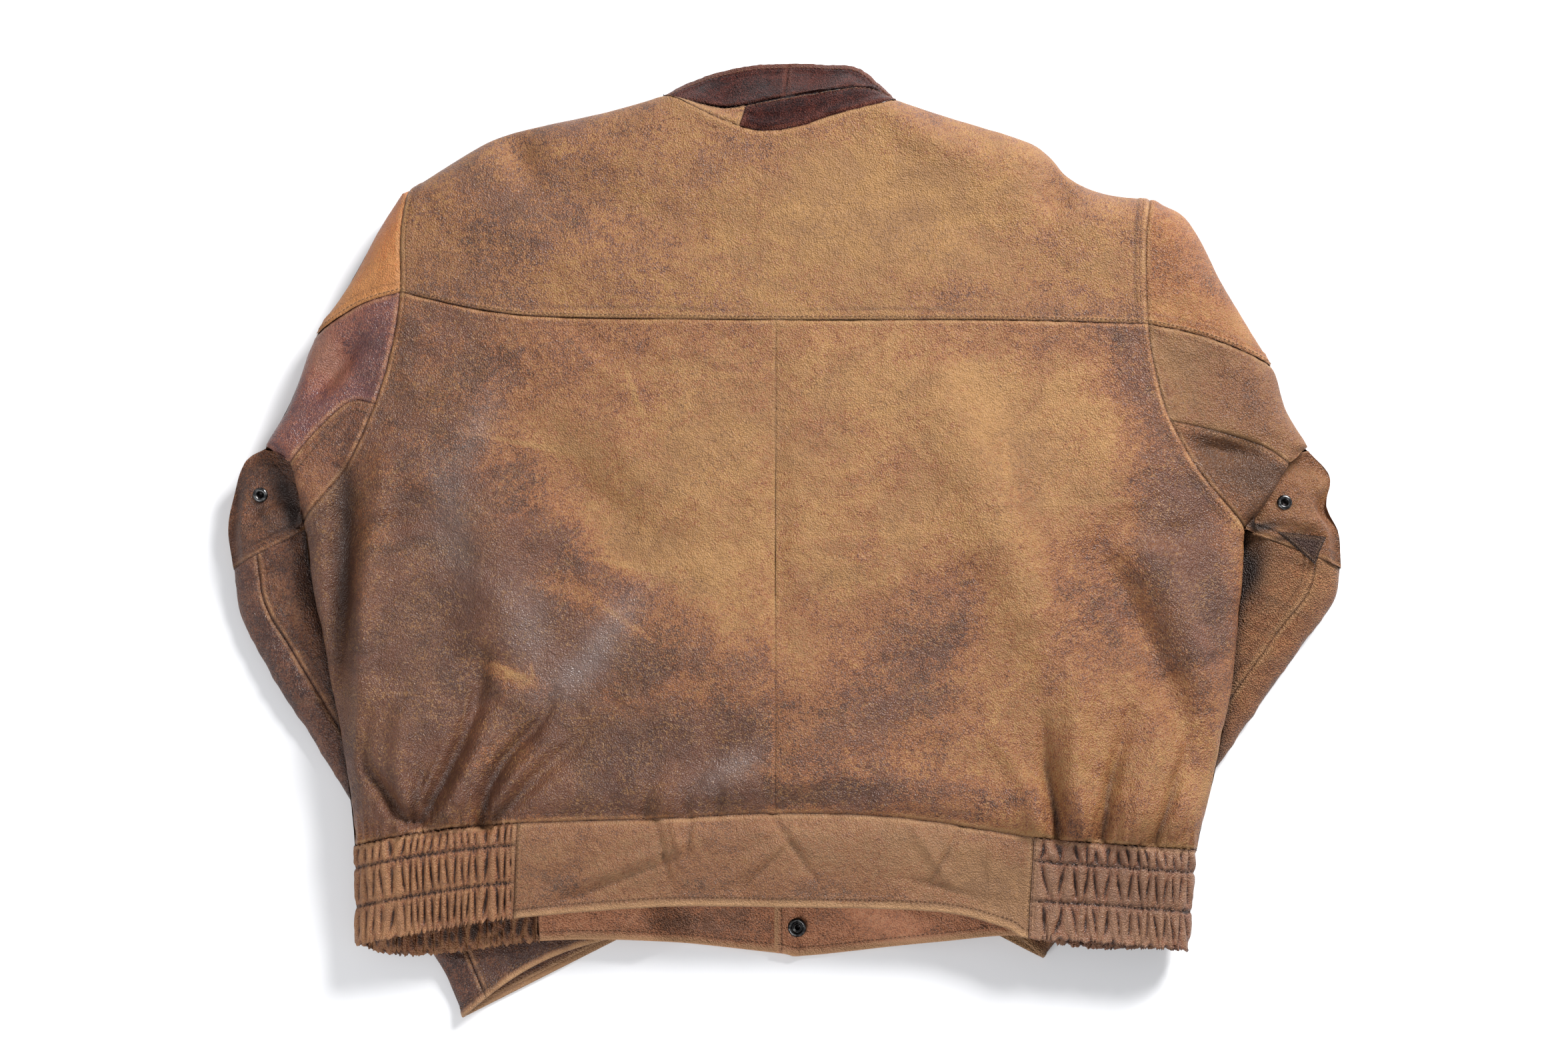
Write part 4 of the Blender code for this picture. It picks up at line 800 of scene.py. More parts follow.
def fold_back(lip, start_at, end_at, side):
    """Columns of the hidden fold between the lip and the lower sleeve."""
    inward = np.gradient(lip[:, :2], axis=0)[:, ::-1] * ((-1, 1), (1, -1))[side]
    inward /= np.linalg.norm(inward, axis=1, keepdims=True)
    t = run_of(lip) / run_of(lip)[-1]
    profile = curve(FOLD_PROFILE, 5)[1:]
    columns = []
    for k, (depth, down) in enumerate(profile):
        share = (k + 1) / len(profile)
        slide = share**2
        plan = lip[:, :2] + inward * depth * (1 - t**2)[:, None]
        first = plan[0] + (start_at[:2] - plan[0]) * slide
        plan = plan + (first - plan[0]) * (1 - ease(t * START_FADE))[:, None]
        z = lip[:, 2] - down * (1 - 0.5 * t**2)
        z = z + (start_at[2] - z[0]) * slide * (1 - ease(t * START_FADE))
        straight = lip[-1] + (end_at - lip[-1]) * share * FOLD_SHARE
        fade = (t**4)[:, None]
        columns.append(np.column_stack([plan, z]) * (1 - fade) + straight * fade)
    return np.stack(columns, axis=1)


def folds(plan, table, begin=0.1):
    """Height of short straight folds that fade out at both ends."""
    height = np.zeros(plan.shape[:-1])
    for *_, start, end, half, rise in table:
        d, where = nearest(plan, np.array([start, end], float))
        height += rise * hump(d, half) * swell_along(where, begin)
    return height


UNDERARM_FOLDS = [
    # from          to            half width, height
    [((-404, 0),    (-362, 22),   8, -4.0), ((-398, -24), (-366, 2),  5, 2.5), ((-380, 38),  (-360, 30), 6, 2.5)],
    [((404, 30),    (366, 44),    8, -3.5), ((402, -8),   (372, 0),   6, 2.5), ((392, 20),   (408, -6),  6, -2.5)],
]
underarm_leathers = [
    leather("left_underarm_leather", (0.36, 0.165, 0.070), (0.125, 0.052, 0.034), balance=-0.25, turn=0.2),
    leather("right_underarm_leather", (0.29, 0.134, 0.048), (0.125, 0.050, 0.022), balance=0.05, turn=0.2),
]
# Painted shadow in the hollows of the lower part: under the lip, in its dip and along a fold.
HOLLOW_SHADOWS = [
    # name           centre       half sizes  turn  darkness
    [("left hollow", (-370, 22), (12, 18), 20, 1.0), ("left dip", (-362, 0), (9, 12), 0, 0.9),
     ("left fold", (-388, 6), (4, 18), 35, 0.6)],
    [("right hollow", (352, -7), (16, 4), 8, 1.0), ("right dip", (372, -14), (14, 3), 15, 0.8)],
]
# Painted shadow where the upper layer tucks in at the armpit.
PIT_END_SHADOWS = [[("left pit", (-358, -2), (7, 7), 0, 1.2)], [("right pit", (347, -6), (7, 6), 0, 1.2)]]
UNDER_SEAM = [("left", (-325, 50), (36, 24), 0, 0.0), ("right", (322, 44), (36, 24), 0, -0.8)]
# the tone of the lip's middle: paler on the left, darker on the right
LIP_TONE, ELBOW_DARK = (0.25, -0.7), -0.6
PIT_REACH, PIT_HEIGHT = 8.0, 29.0   # of the corner that is tucked in at the armpit
LOWER = []                       # the lower part of each underarm piece, for the insert
THREADS = []                     # the stitch lines, each with the pieces that it lies on


def beside(line, offset):
    """A line shifted to its left, seen from above."""
    line = np.asarray(line)[:, :2]
    along = np.gradient(line, axis=0)
    along /= np.maximum(np.linalg.norm(along, axis=1, keepdims=True), 1e-9)
    return line + offset * np.column_stack([-along[:, 1], along[:, 0]])


for side, name in enumerate(NAMES):
    pit, gusset_seam = armholes[side][2], gusset_seams[side]
    lip = split(curve(side_points(LIP, side)), gusset_seam[-1])[0][::-1]
    short_end = pit[-1] + (np.array(ELBOW_EDGE[side][-1]) - pit[-1]) * SHORT_OF_EDGE
    lip = np.vstack([gusset_seam[-1:], lip[1:-LIP_CUT], short_end])
    rows = strides(run_of(pit)[-1], cell=1.6)
    plan = fill(gusset_seam, np.array([pit[-1], lip[-1]]), pit, lip, rows=rows, columns=strides(80, cell=1.6))
    upper_layer = with_height(plan, top_height(plan))
    tucked = hump(np.linalg.norm(plan - lip[-1], axis=-1), PIT_REACH)
    upper_layer[..., 2] -= np.maximum(upper_layer[..., 2] - PIT_HEIGHT, 0) * tucked
    section = [np.array(FOREARM[0][1 + 2 * side], float), np.array(FOREARM[0][2 + 2 * side], float)]
    elbow_edge = spaced(curve(ELBOW_EDGE[side]), np.linspace(ELBOW_START, 1, 60))
    elbow_seam = np.array(section)
    start_at = np.append(elbow_edge[0], arm_height(elbow_edge[0], side))
    end_at = np.append(section[1], arm_height(section[1], side))
    fold = fold_back(upper_layer[:, -1], start_at, end_at, side)
    last = np.array([fold[-1, -1, :2], section[1]])
    across = strides(60, cell=1.5)
    plan = fill(elbow_edge, last, fold[:, -1, :2], elbow_seam, rows=rows, columns=across)
    start_z = fold[:, -1, 2][:, None]
    blend = ease(1.3 * across)[None]
    z = start_z * (1 - blend) + np.minimum(arm_height(plan, side), start_z) * blend
    edge_in = ease(np.linalg.norm(plan - plan[:1], axis=-1) / 12)
    z = z * edge_in + arm_height(plan[0], side)[None] * (1 - edge_in)
    z[:, -1] = arm_height(plan[:, -1], side)
    lower_layer = with_height(plan, z)
    LOWER.append(lower_layer)
    whole = np.concatenate([upper_layer, fold, lower_layer[:, 1:]], axis=1)
    plan = whole[..., :2]
    top_part = np.arange(whole.shape[1]) < upper_layer.shape[1]
    seams = [(gusset_seam, "twin"), (pit, "groove")]
    small = relief(plan, seams, 51 + side, wrinkles=1.0, along=0.9, longer=1.6)
    low = relief(plan, [(elbow_seam, "twin")], 55 + side, wrinkles=1.6, along=-0.4, longer=2.0)
    low = low + folds(plan, UNDERARM_FOLDS[side])
    outward = np.cross(np.gradient(whole, axis=1), np.gradient(whole, axis=0))
    outward /= np.maximum(np.linalg.norm(outward, axis=-1, keepdims=True), 1e-9)
    outward *= 1 if outward[:, :5, 2].sum() > 0 else -1
    whole = whole + outward * np.where(top_part, small, low)[..., None]
    lip_patch = ("lip", lip[len(lip) // 2], (30, 30), 0, LIP_TONE[side])
    marks = marks_near(plan, seams, [lip_patch, UNDER_SEAM[side]])
    lower_marks = marks_near(plan, [(elbow_seam, "twin")], [("elbow", section[0], (20, 30), 0, ELBOW_DARK)])
    lower_marks["dirt_and_shade"] = np.clip(lower_marks["dirt_and_shade"] + painted(plan, HOLLOW_SHADOWS[side]), 0, 1)
    marks["dirt_and_shade"] = np.clip(marks["dirt_and_shade"] + painted(plan, PIT_END_SHADOWS[side]), 0, 1)
    marks = {key: np.where(top_part, marks[key], lower_marks[key]) for key in marks}
    TOP[f"underarm_{name}"] = whole
    THREADS += [(beside(elbow_seam[::-1], (1, -1)[side] * k), f"underarm_{name}") for k in TWIN]
    arm = cloth(f"underarm_{name}", whole, underarm_leathers[side], "back_leather", **marks)

# ---- The undersides of the upper sleeves: plain panels of hide that lie on the table and turn up at the
# sleeve's outer edge, where they are sewn to the caps, the upper sleeves and the underarm pieces.

plain_leather = leather("plain_leather", (0.37, 0.19, 0.078), (0.150, 0.070, 0.042), balance=0.1)
CLEAR, RAMP_FLAT, RAMP_END, SIDE_ROLL = 1.0, 14.0, 50.0, 16.0
INNER_RAMP = 40.0                # the underside comes down from the armhole to the table over this


def lift(plan):
    """Height of the fronts' underside: flat on the table, and above the forearms."""
    height = np.zeros(plan.shape[:-1])
    for outer, inner in ARM_LINES:
        ring = np.vstack([outer, inner[::-1]])
        d, _ = nearest(plan, np.vstack([ring, ring[:1]]))
        inside = np.zeros(plan.shape[:-1], bool)
        for a, b in zip(ring, np.roll(ring, -1, axis=0)):
            crosses = (a[1] > plan[..., 1]) != (b[1] > plan[..., 1])
            rise = b[1] - a[1] if b[1] != a[1] else 1e-9
            inside ^= crosses & (plan[..., 0] < a[0] + (plan[..., 1] - a[1]) * (b[0] - a[0]) / rise)
        ramp = 1 - ease((np.where(inside, 0, d) - RAMP_FLAT) / (RAMP_END - RAMP_FLAT))
        height = np.maximum(height, ramp * (along_y(ARM_TOP, plan[..., 1]) + CLEAR))
    return height


def under_height(plan):
    """Outside of the fronts: it meets the top layer at the sides and shoulders."""
    lifted = lift(plan)
    rise = np.zeros(plan.shape[:-1])
    sides_and_shoulders = OUTLINES[::4] + OUTLINES[3::4]
    for line in sides_and_shoulders:
        d, where = nearest(plan, line[:, :2])
        fold = np.interp(where, np.arange(len(line)), line[:, 2])
        rise = np.maximum(rise, (fold - lifted) * (1 - rolled(d, SIDE_ROLL)))
    return lifted + rise


for side, name in enumerate(NAMES):
    head, blade, pit = armholes[side]
    edge = join(cap_edges[side], blade_edges[side])
    outer, inner = join(edge, curve(ELBOW_EDGE[side])), join(head, blade, pit)
    section = np.array([FOREARM[0][1 + 2 * side], FOREARM[0][2 + 2 * side]], float)
    plan = fill(np.array([inner[0], outer[0]]), np.array([inner[-1], section[1], section[0]]), inner, outer)
    edge_z = np.where(plan[:, -1, 1] > edge[-1, 1], top_height(plan[:, -1]), arm_height(plan[:, -1], side))
    inner_z = under_height(plan[:, 0])
    inner_z[[0, -1]] = top_height(plan[[0, -1], 0])
    v = np.linalg.norm(plan - plan[:, :1], axis=-1)
    gap = np.linalg.norm(plan - plan[:, -1:], axis=-1)
    z = inner_z[:, None] * (1 - ease(v / INNER_RAMP))
    z = z + (edge_z[:, None] - z) * (1 - rolled(gap, ARM_ROLL))
    under = cloth(f"sleeve_under_{name}", with_height(plan, z), plain_leather, "back_leather", up=-1,
                  **marks_near(plan, [(inner, "groove")]))

# ---- The lower sleeves: flat tubes of hide, each of two pieces seamed along the top near the outer edge and
# along the table.  They run in and down under the body; the open cuff has a turned, stitched edge.

ARM_SEAM, BASE_SPLIT = 22.0, 0.38   # from the outer edge: the upper seam, and the lower one as a share
MOUTH_SHORT, MOUTH_START = 10.0, 0.86   # the upper lip of the cuff lies back, from this far down the arm
OFF_TABLE, BASE_ROLL = 0.2, 12.0
CUFF_STITCH = 5.2                # in from the cuff's edge
BULGE_DARK, CUFF_RUBBED = -0.2, (-0.7, 0.1)
BODY_SHADOW, BODY_SHADOW_WIDTH = 0.85, 6.0   # painted shadow: the leather is darkened where it goes in under the body
FACING_DEPTH, FACING_SPAN, FACING_Z = (2.5, 30), (0.10, 0.90), 2.9
# Painted shadow in the hollow between each forearm and the body, below the armpit.
PIT_SHADOWS = [[("left armpit", (-346, -34), (8, 26), 10, 0.6)], [("right armpit", (347, -38), (11, 26), -8, 1.0)]]
ARM_CREASES = [
    # name                  from and to, left arm           from and to, right arm          half width, height
    ("hollow by the body",  (-358, -14), (-322, -110),      (350, -18), (312, -100),        9.6, -7.2),
    ("elbow fold",          (-405, -52), (-366, -34),       (408, -48), (362, -30),         4.8, -1.92),
    ("second fold",         (-398, -78), (-350, -66),       (398, -74), (345, -50),         4.0, 1.44),
    ("third fold",          (-392, -92), (-345, -90),       (388, -92), (330, -80),         4.0, -1.6),
    ("slanting fold",       (-380, -118), (-330, -100),     (372, -100), (322, -104),       4.8, 1.28),
    ("long fold",           (-372, -60), (-330, -150),      (380, -70), (330, -120),        4.0, -1.44),
    ("fourth fold",         (-365, -140), (-312, -126),     (352, -130), (312, -120),       4.8, -1.28),
    ("wrist fold one",      (-262, -310), (-225, -330),     (210, -285), (180, -300),       4.0, 1.6),
    ("wrist fold two",      (-258, -305), (-215, -322),     (205, -275), (150, -280),       4.8, -1.28),
    ("cuff pull",           (-200, -285), (-150, -300),     (150, -250), (110, -260),       6.4, 0.96),
]
arm_leathers = [
    [leather("left_forearm_dark_leather", (0.30, 0.145, 0.080), (0.090, 0.040, 0.032), balance=-0.2, gloss=0.9,
             turn=0.8),
     leather("left_forearm_leather", (0.32, 0.150, 0.066), (0.100, 0.042, 0.030), balance=-0.2, turn=0.8)],
    [leather("right_forearm_leather", (0.43, 0.205, 0.085), (0.155, 0.066, 0.036), balance=0.15, pebble=1.6,
             crackle=0.7, turn=-0.8)] * 2,
]


def turned(grid, up=1, judged=slice(None), radius=1.2, depth=8.0):
    """Turn the last row of a grid in under itself, as a folded hem is."""
    n = normals(grid, up, judged)[-1]
    out = grid[-1] - grid[-3]
    out -= (out * n).sum(axis=-1, keepdims=True) * n
    out /= np.linalg.norm(out, axis=-1, keepdims=True)
    rows = [grid[-1] + radius * (np.sin(a) * out - (1 - np.cos(a)) * n) for a in np.linspace(0, np.pi, 7)[1:]]
    rows += [rows[-1] - reach * out for reach in np.linspace(0, depth, 4)[1:]]
    return np.concatenate([grid, rows])


for side, name in enumerate(NAMES):
    outer, inner = (curve([row[column + 2 * side] for row in FOREARM]) for column in (1, 2))
    sections = strides(run_of(outer)[-1], cell=2.0)
    outer, inner = spaced(outer, sections), spaced(inner, sections)
    width = np.linalg.norm(inner - outer, axis=1)[:, None]
    seam = np.minimum(0.4, ARM_SEAM / width)
    step = strides(90, cell=2.0)[None]
    back = outer[-12] + inner[-12] - outer[-1] - inner[-1]
    back /= np.linalg.norm(back)
    near_mouth = ease((run_of(outer) / run_of(outer)[-1] - MOUTH_START) / (1 - MOUTH_START))[:, None, None]

    def across(u):
        """Plan points of the upper wall at fractions across each section; the mouth's upper lip lies back."""
        line = outer[:, None] + (inner - outer)[:, None] * u[..., None]
        return line + back * MOUTH_SHORT * np.sin(np.pi * u)[..., None] * near_mouth

    def below(u):
        """Points of the lower wall: it drops from the edge's fold to the table."""
        line = outer[:, None] + (inner - outer)[:, None] * u[..., None]
        gap = np.minimum(u, 1 - u) * width
        return with_height(line, along_y(ARM_EDGE, line[..., 1]) * (1 - rolled(gap, BASE_ROLL)) + OFF_TABLE)

    side_line = curve(side_points(SIDE, side))[:, :2]
    mouth_line = across(np.linspace(0, 1, 60)[None] * np.ones_like(width))[-1]
    seam_line = across(seam)[:, 0]
    for part, (u_top, u_low) in (("outer", (seam * (1 - step), BASE_SPLIT * step)),
                                 ("inner", (seam + (1 - seam) * step, 1 - (1 - BASE_SPLIT) * step))):
        plan = across(u_top)
        seams = [(seam_line, "groove" if part == "outer" else "strip"), (mouth_line, "hem")]
        grid = with_height(plan, arm_height(plan, side))
        small = relief(plan, seams, 61 + side * 3, wrinkles=2.2, along=(0.9, -0.9)[side], longer=1.8)
        small = small + folds(plan, [row[1 + 2 * side:3 + 2 * side] + row[5:] for row in ARM_CREASES])
        grid = grid + normals(grid) * small[..., None]
        grid = turned(np.concatenate([grid, below(u_low)[:, 1:]], axis=1), judged=slice(0, 20))
        marks = marks_near(grid[..., :2], seams, [("bulge", outer[len(outer) // 4], (40, 40), 0, BULGE_DARK),
                                                  ("cuff", inner[-1], (110, 60), 20, CUFF_RUBBED[side])])
        low_marks = marks_near(grid[..., :2], [(np.array([outer[-1], inner[-1]]), "hem")])
        upper = np.arange(grid.shape[1]) < plan.shape[1]
        marks = {key: np.where(upper, marks[key], low_marks[key]) for key in marks}
        # Painted shadow on the upper wall, along the body's edge and by the armpit.
        beside_body, _ = nearest(grid[..., :2], side_line[::4])
        painted_shade = BODY_SHADOW * hump(beside_body, BODY_SHADOW_WIDTH) + painted(grid[..., :2], PIT_SHADOWS[side])
        marks["dirt_and_shade"] = np.clip(marks["dirt_and_shade"] + painted_shade * upper, 0, 1)
        TOP[f"forearm_{part}_{name}"] = grid
        arm = cloth(f"forearm_{part}_{name}", grid, arm_leathers[side][part == "inner"],
                    "dark_leather" if (side, part) == (0, "outer") else "back_leather", judged=slice(0, 20),
                    **marks)

    arm_pieces = f"forearm_outer_{name}", f"forearm_inner_{name}"
    THREADS += [(mouth_line + back * CUFF_STITCH, *arm_pieces),
                (across(seam + STITCH_IN / width)[:, 0], arm_pieces[1])]

    # the facing inside the cuff: a strip of hide sewn in, which lies on the lower wall
    deep = np.linspace(*FACING_DEPTH, 24)[:, None]
    u = np.linspace(*FACING_SPAN, 60)[None]
    line = outer[-1] + (inner - outer)[-1] * u[..., None]
    plan = line + back * deep[..., None]
    z = FACING_Z + 0.5 * ripples(plan, 12, 68 + side) + 0.6 * hump(deep - FACING_DEPTH[1] + 2, 2)
    TOP[f"cuff_facing_{name}"] = with_height(plan, z)
    THREADS.append((plan[2], f"cuff_facing_{name}"))
    facing = cloth(f"cuff_facing_{name}", TOP[f"cuff_facing_{name}"], arm_leathers[0][0], "back_leather",
                   **marks_near(plan, [(plan[0], "hem")]))

# ---- The back of the waistband: a plain band of hide between the two elastic sides, seamed to the back
# panels above it.  Its hem is turned in and stitched, and short creases run across it.

BACK_HEM = [(-309, -309), (-248, -298), (-194, -290), (-90, -282), (-6, -282), (107, -285), (157, -296),
            (175, -304), (228, -307), (291, -313)]
BAND_HEM_X = (-194, 175)         # the ends of the plain band at the hem
BAND_PATCHES = [
    ("left",          (-130, -250),  (60, 30),   0,   0.15),
    ("left dark",     (-170, -265),  (24, 20),   0,  -0.15),
    ("middle",        (-20, -250),   (60, 30),   10,  0.2),
    ("right pale",    (120, -255),   (60, 24),   -20, 0.45),
    ("right end",     (165, -280),   (20, 20),   0,   0.4),
    ("centre dark",   (10, -275),    (60, 10),   0,  -0.3),
]
BAND_CREASES = [
    # name            from          to             half width, height
    ("one",           (-92, -222),  (-82, -266),   2.2, -2.6),
    ("two",           (-80, -222),  (-72, -254),   2.4, 2.4),
    ("three",         (-66, -220),  (-70, -250),   1.8, -2.0),
    ("slant",         (-176, -276), (-60, -232),   5.0, 2.0),
    ("slant dip",     (-170, -284), (-70, -246),   3.0, -1.5),
    ("middle",        (-8, -218),   (22, -264),    2.6, -2.2),
    ("middle slant",  (10, -230),   (-44, -266),   4.2, 1.8),
    ("middle dip",    (2, -240),    (-34, -274),   2.4, -1.4),
    ("right one",     (90, -222),   (122, -270),   4.6, 2.0),
    ("right two",     (128, -226),  (98, -278),    2.6, -2.0),
    ("right three",   (150, -230),  (146, -285),   3.4, 1.7),
    ("right low",     (84, -262),   (140, -276),   2.4, -1.3),
]
CREASE_DIRT_AND_SHADE = 0.40
band_leather = leather("band_leather", (0.37, 0.19, 0.085), (0.175, 0.085, 0.050), balance=0.0, speckle=0.8,
                       turn=0.1)
hem_line = curve(BACK_HEM)
waist_back = stretch(waist_line, *BAND_TOP_X)
hem_back = stretch(hem_line, *BAND_HEM_X)
left_end, right_end = (np.array([waist_back[i], hem_back[i]]) for i in (0, -1))
plan = fill(waist_back, hem_back, left_end, right_end)
seams = [(waist_back, "groove"), (hem_back, "hem"), (left_end, "groove"), (right_end, "groove")]
small = relief(plan, seams, 71, wrinkles=1.5, along=1.3, longer=1.8) + folds(plan, BAND_CREASES, 0.15)
grid = with_height(plan, top_height(plan))
grid = turned(grid + normals(grid) * small[..., None], radius=1.5)
TOP["waistband_back"] = grid
marks = marks_near(grid[..., :2], seams, BAND_PATCHES)
# dirt and painted shade in the troughs of the band's creases
for _, start, end, _, rise in BAND_CREASES:
    d, where = nearest(grid[..., :2], np.array([start, end], float))
    if rise < 0:
        marks["dirt_and_shade"] = np.maximum(marks["dirt_and_shade"], CREASE_DIRT_AND_SHADE * hump(d, 1.1) * swell_along(where, 0))
band = cloth("waistband_back", grid, band_leather, "band_leather", **marks)

# ---- The elastic sides: hide over elastic, gathered on two stitch lines into ridges that zigzag from the
# seam to the hem.  Each wraps round the side of the jacket to its seam with the front band.

FRONT_WAIST_Y = -251.0
ZIP_X = (-3.0, 9.0)              # where the two fronts end at the zip
FRONT_HEM = [(-309, -309), (-290, -315), (-251, -316), (-177, -307), (-97, -307), (-6, -316), (17, -318),
             (109, -308), (166, -303), (200, -309), (228, -312), (291, -313)]
FRONT_END = (-177, 190)          # where the elastic sides end at the front hem
END_SLANT = 4                    # at the waist they end this much further out
SHIRR_LINES = [0.0, 0.23, 0.63, 1.0]   # the seam, the two stitch lines and the hem
BAND_DEPTH = 65
RIDGE, PINCH, ZIGZAG = 4.4, 0.50, (2.3, 3.8)
STITCH_DIP = 0.9
RUFFLE_START = 0.72              # the hem's edge waves below this share of the depth
PLY_GAP, PLY_ROWS = 2.4, 26      # the leather turned up inside the hem
front_hem = curve(FRONT_HEM)


def over_stitches(v, width):
    """A hump over each of the two stitch lines."""
    return sum(hump((v - low) * BAND_DEPTH, width) for low in SHIRR_LINES[1:3])


def shirring(x, v, side, seed):
    """Ridge height over an elastic side; v runs from the waist seam to the hem."""
    height = np.zeros_like(v)
    turns = gather_turns(x)
    for row, (low, high) in enumerate(zip(SHIRR_LINES, SHIRR_LINES[1:])):
        t = (v - low) / (high - low)
        drift = [1.5 * ripples(np.stack([x, 0 * x + 40 * k], axis=-1), 19, seed) for k in (row, row + 1)]
        lean = ZIGZAG[side] * (t - 0.5) * np.cos(np.pi * turns + row * 1.3)
        phase = 2 * np.pi * turns + (1 - t) * drift[0] + t * drift[1] + lean
        middle = np.sin(np.pi * np.clip(t, 0, 1))**0.7
        uneven = 0.85 + 0.3 * ripples(np.stack([x, 50 * v], axis=-1), 21, seed + 1)
        ridge = np.abs(np.cos(phase / 2))**0.55 - 0.68
        small_ridge = np.abs(np.cos(phase))**0.7 - 0.62
        ridges = RIDGE * uneven * (middle * ridge + PINCH * (1 - middle) * small_ridge)
        height = np.where((t >= 0) & (t <= 1), ridges, height)
    return height - STITCH_DIP * over_stitches(v, 1.5)


elastic_leathers = [
    leather("elastic_leather", (0.42, 0.200, 0.088), (0.165, 0.070, 0.042), balance=0.15, speckle=0.9, turn=1.5),
    leather("right_elastic_leather", (0.34, 0.175, 0.098), (0.165, 0.078, 0.054), balance=0.1, speckle=0.7,
            gloss=0.8, turn=1.5),
]
FRONT_WAIST = []
for side, name in enumerate(NAMES):
    top_point, hem_point = (np.array(SIDE[k][1 + side], float) for k in (1, 0))
    sign = (1, -1)[side]
    waist = stretch(waist_line, BAND_TOP_X[side], top_point[0])
    hem = stretch(hem_line, BAND_HEM_X[side], hem_point[0])
    down = strides(68, cell=1.2)
    seam, fold = np.array([waist[0], hem[0]]), np.array([top_point, hem_point])
    plan = fill(waist, hem, seam, fold, rows=down, columns=strides(120, cell=0.8))
    above = with_height(plan, top_height(plan))
    side_x = top_point[0]
    front_waist = curve([top_point, (side_x * 0.8, FRONT_WAIST_Y + 2), (side_x * 0.4, FRONT_WAIST_Y),
                         (ZIP_X[side], FRONT_WAIST_Y)])
    FRONT_WAIST.append(front_waist)
    end_x = FRONT_END[side] - END_SLANT * sign
    hem_part = stretch(front_hem, hem_point[0], FRONT_END[side])
    waist_part = stretch(front_waist, top_point[0], end_x)
    seam_low = np.array([waist_part[-1], hem_part[-1]])
    plan = fill(waist_part, hem_part, fold, seam_low, rows=down, columns=strides(130, cell=1.0))
    z = under_height(plan)
    z = z + 3.0 * ease(np.linalg.norm(plan - plan[:, -1:], axis=-1) / 8)
    z[:, 0] = above[:, -1, 2]
    grid = np.concatenate([above, with_height(plan, z)[:, 1:]], axis=1)
    v = np.broadcast_to(down[:, None], grid.shape[:2])
    wrapped = np.where(np.arange(grid.shape[1]) < above.shape[1], grid[..., 0],
                       2 * hem_point[0] - grid[..., 0] - 8 * sign)
    ends = ease(np.linalg.norm(grid[..., :2] - grid[:, :1, :2], axis=-1) / 6)
    small = shirring(wrapped, v, side, 75 + side) * (0.25 + 0.75 * ends)
    small = small + 0.3 * ripples(grid[..., :2], 4, 79)
    grid[..., 1] -= ease((v - RUFFLE_START) / (1 - RUFFLE_START)) * (1.1 * small + 0.4)
    grid[..., 0] -= sign * 0.35 * small * hump(np.abs(wrapped - hem_point[0]), 12)
    facing_out = normals(grid, judged=slice(0, 40))
    grid = grid + facing_out * small[..., None]
    facing_out = normals(grid, judged=slice(0, 40))
    inner_ply = (grid - PLY_GAP * facing_out)[:-PLY_ROWS:-1]
    out = grid[-1] - grid[-4]
    out /= np.linalg.norm(out, axis=-1, keepdims=True)
    edge = (grid[-1] + inner_ply[0]) / 2
    angles = np.linspace(0, np.pi, 7)[1:-1]
    rolls = [edge + np.cos(a) * (grid[-1] - edge) + np.sin(a) * PLY_GAP / 2 * out for a in angles]
    grid = np.concatenate([grid, rolls, inner_ply])
    grid[..., 2] = np.maximum(grid[..., 2], OFF_TABLE)
    marks = marks_near(grid[..., :2], [(waist, "groove"), (seam, "groove")], BAND_PATCHES)
    # the tone follows the ridges: paler on their rubbed tops, darker in the grooves; the grooves and pinched stitch
    # lines also get painted shade
    groove = 0.5 * over_stitches(v, 1.0) + 0.9 * ease((-0.1 - small) / 1.2)
    rubbed, painted_shade = (np.concatenate([part, np.tile(part[-1:], (len(rolls), 1)), part[:-PLY_ROWS:-1]])
                     for part in (0.45 * small, groove))
    marks["tone"] = marks["tone"] + rubbed
    marks["dirt_and_shade"] = np.clip(np.maximum(marks["dirt_and_shade"], painted_shade), 0, 1)
    TOP[f"elastic_{name}"] = grid
    for low in SHIRR_LINES[1:3]:
        THREADS.append((grid[np.argmin(np.abs(down - low)), :above.shape[1]], f"elastic_{name}"))
    elastic = cloth(f"elastic_{name}", grid, elastic_leathers[side], "band_leather", judged=slice(0, 40), **marks)

# ---- The front bands: leather folded double at the hem, whose inner ply shows below the hem of the back.
# Each is seamed to its elastic side and its front; the right one's end is the tab over the left one.

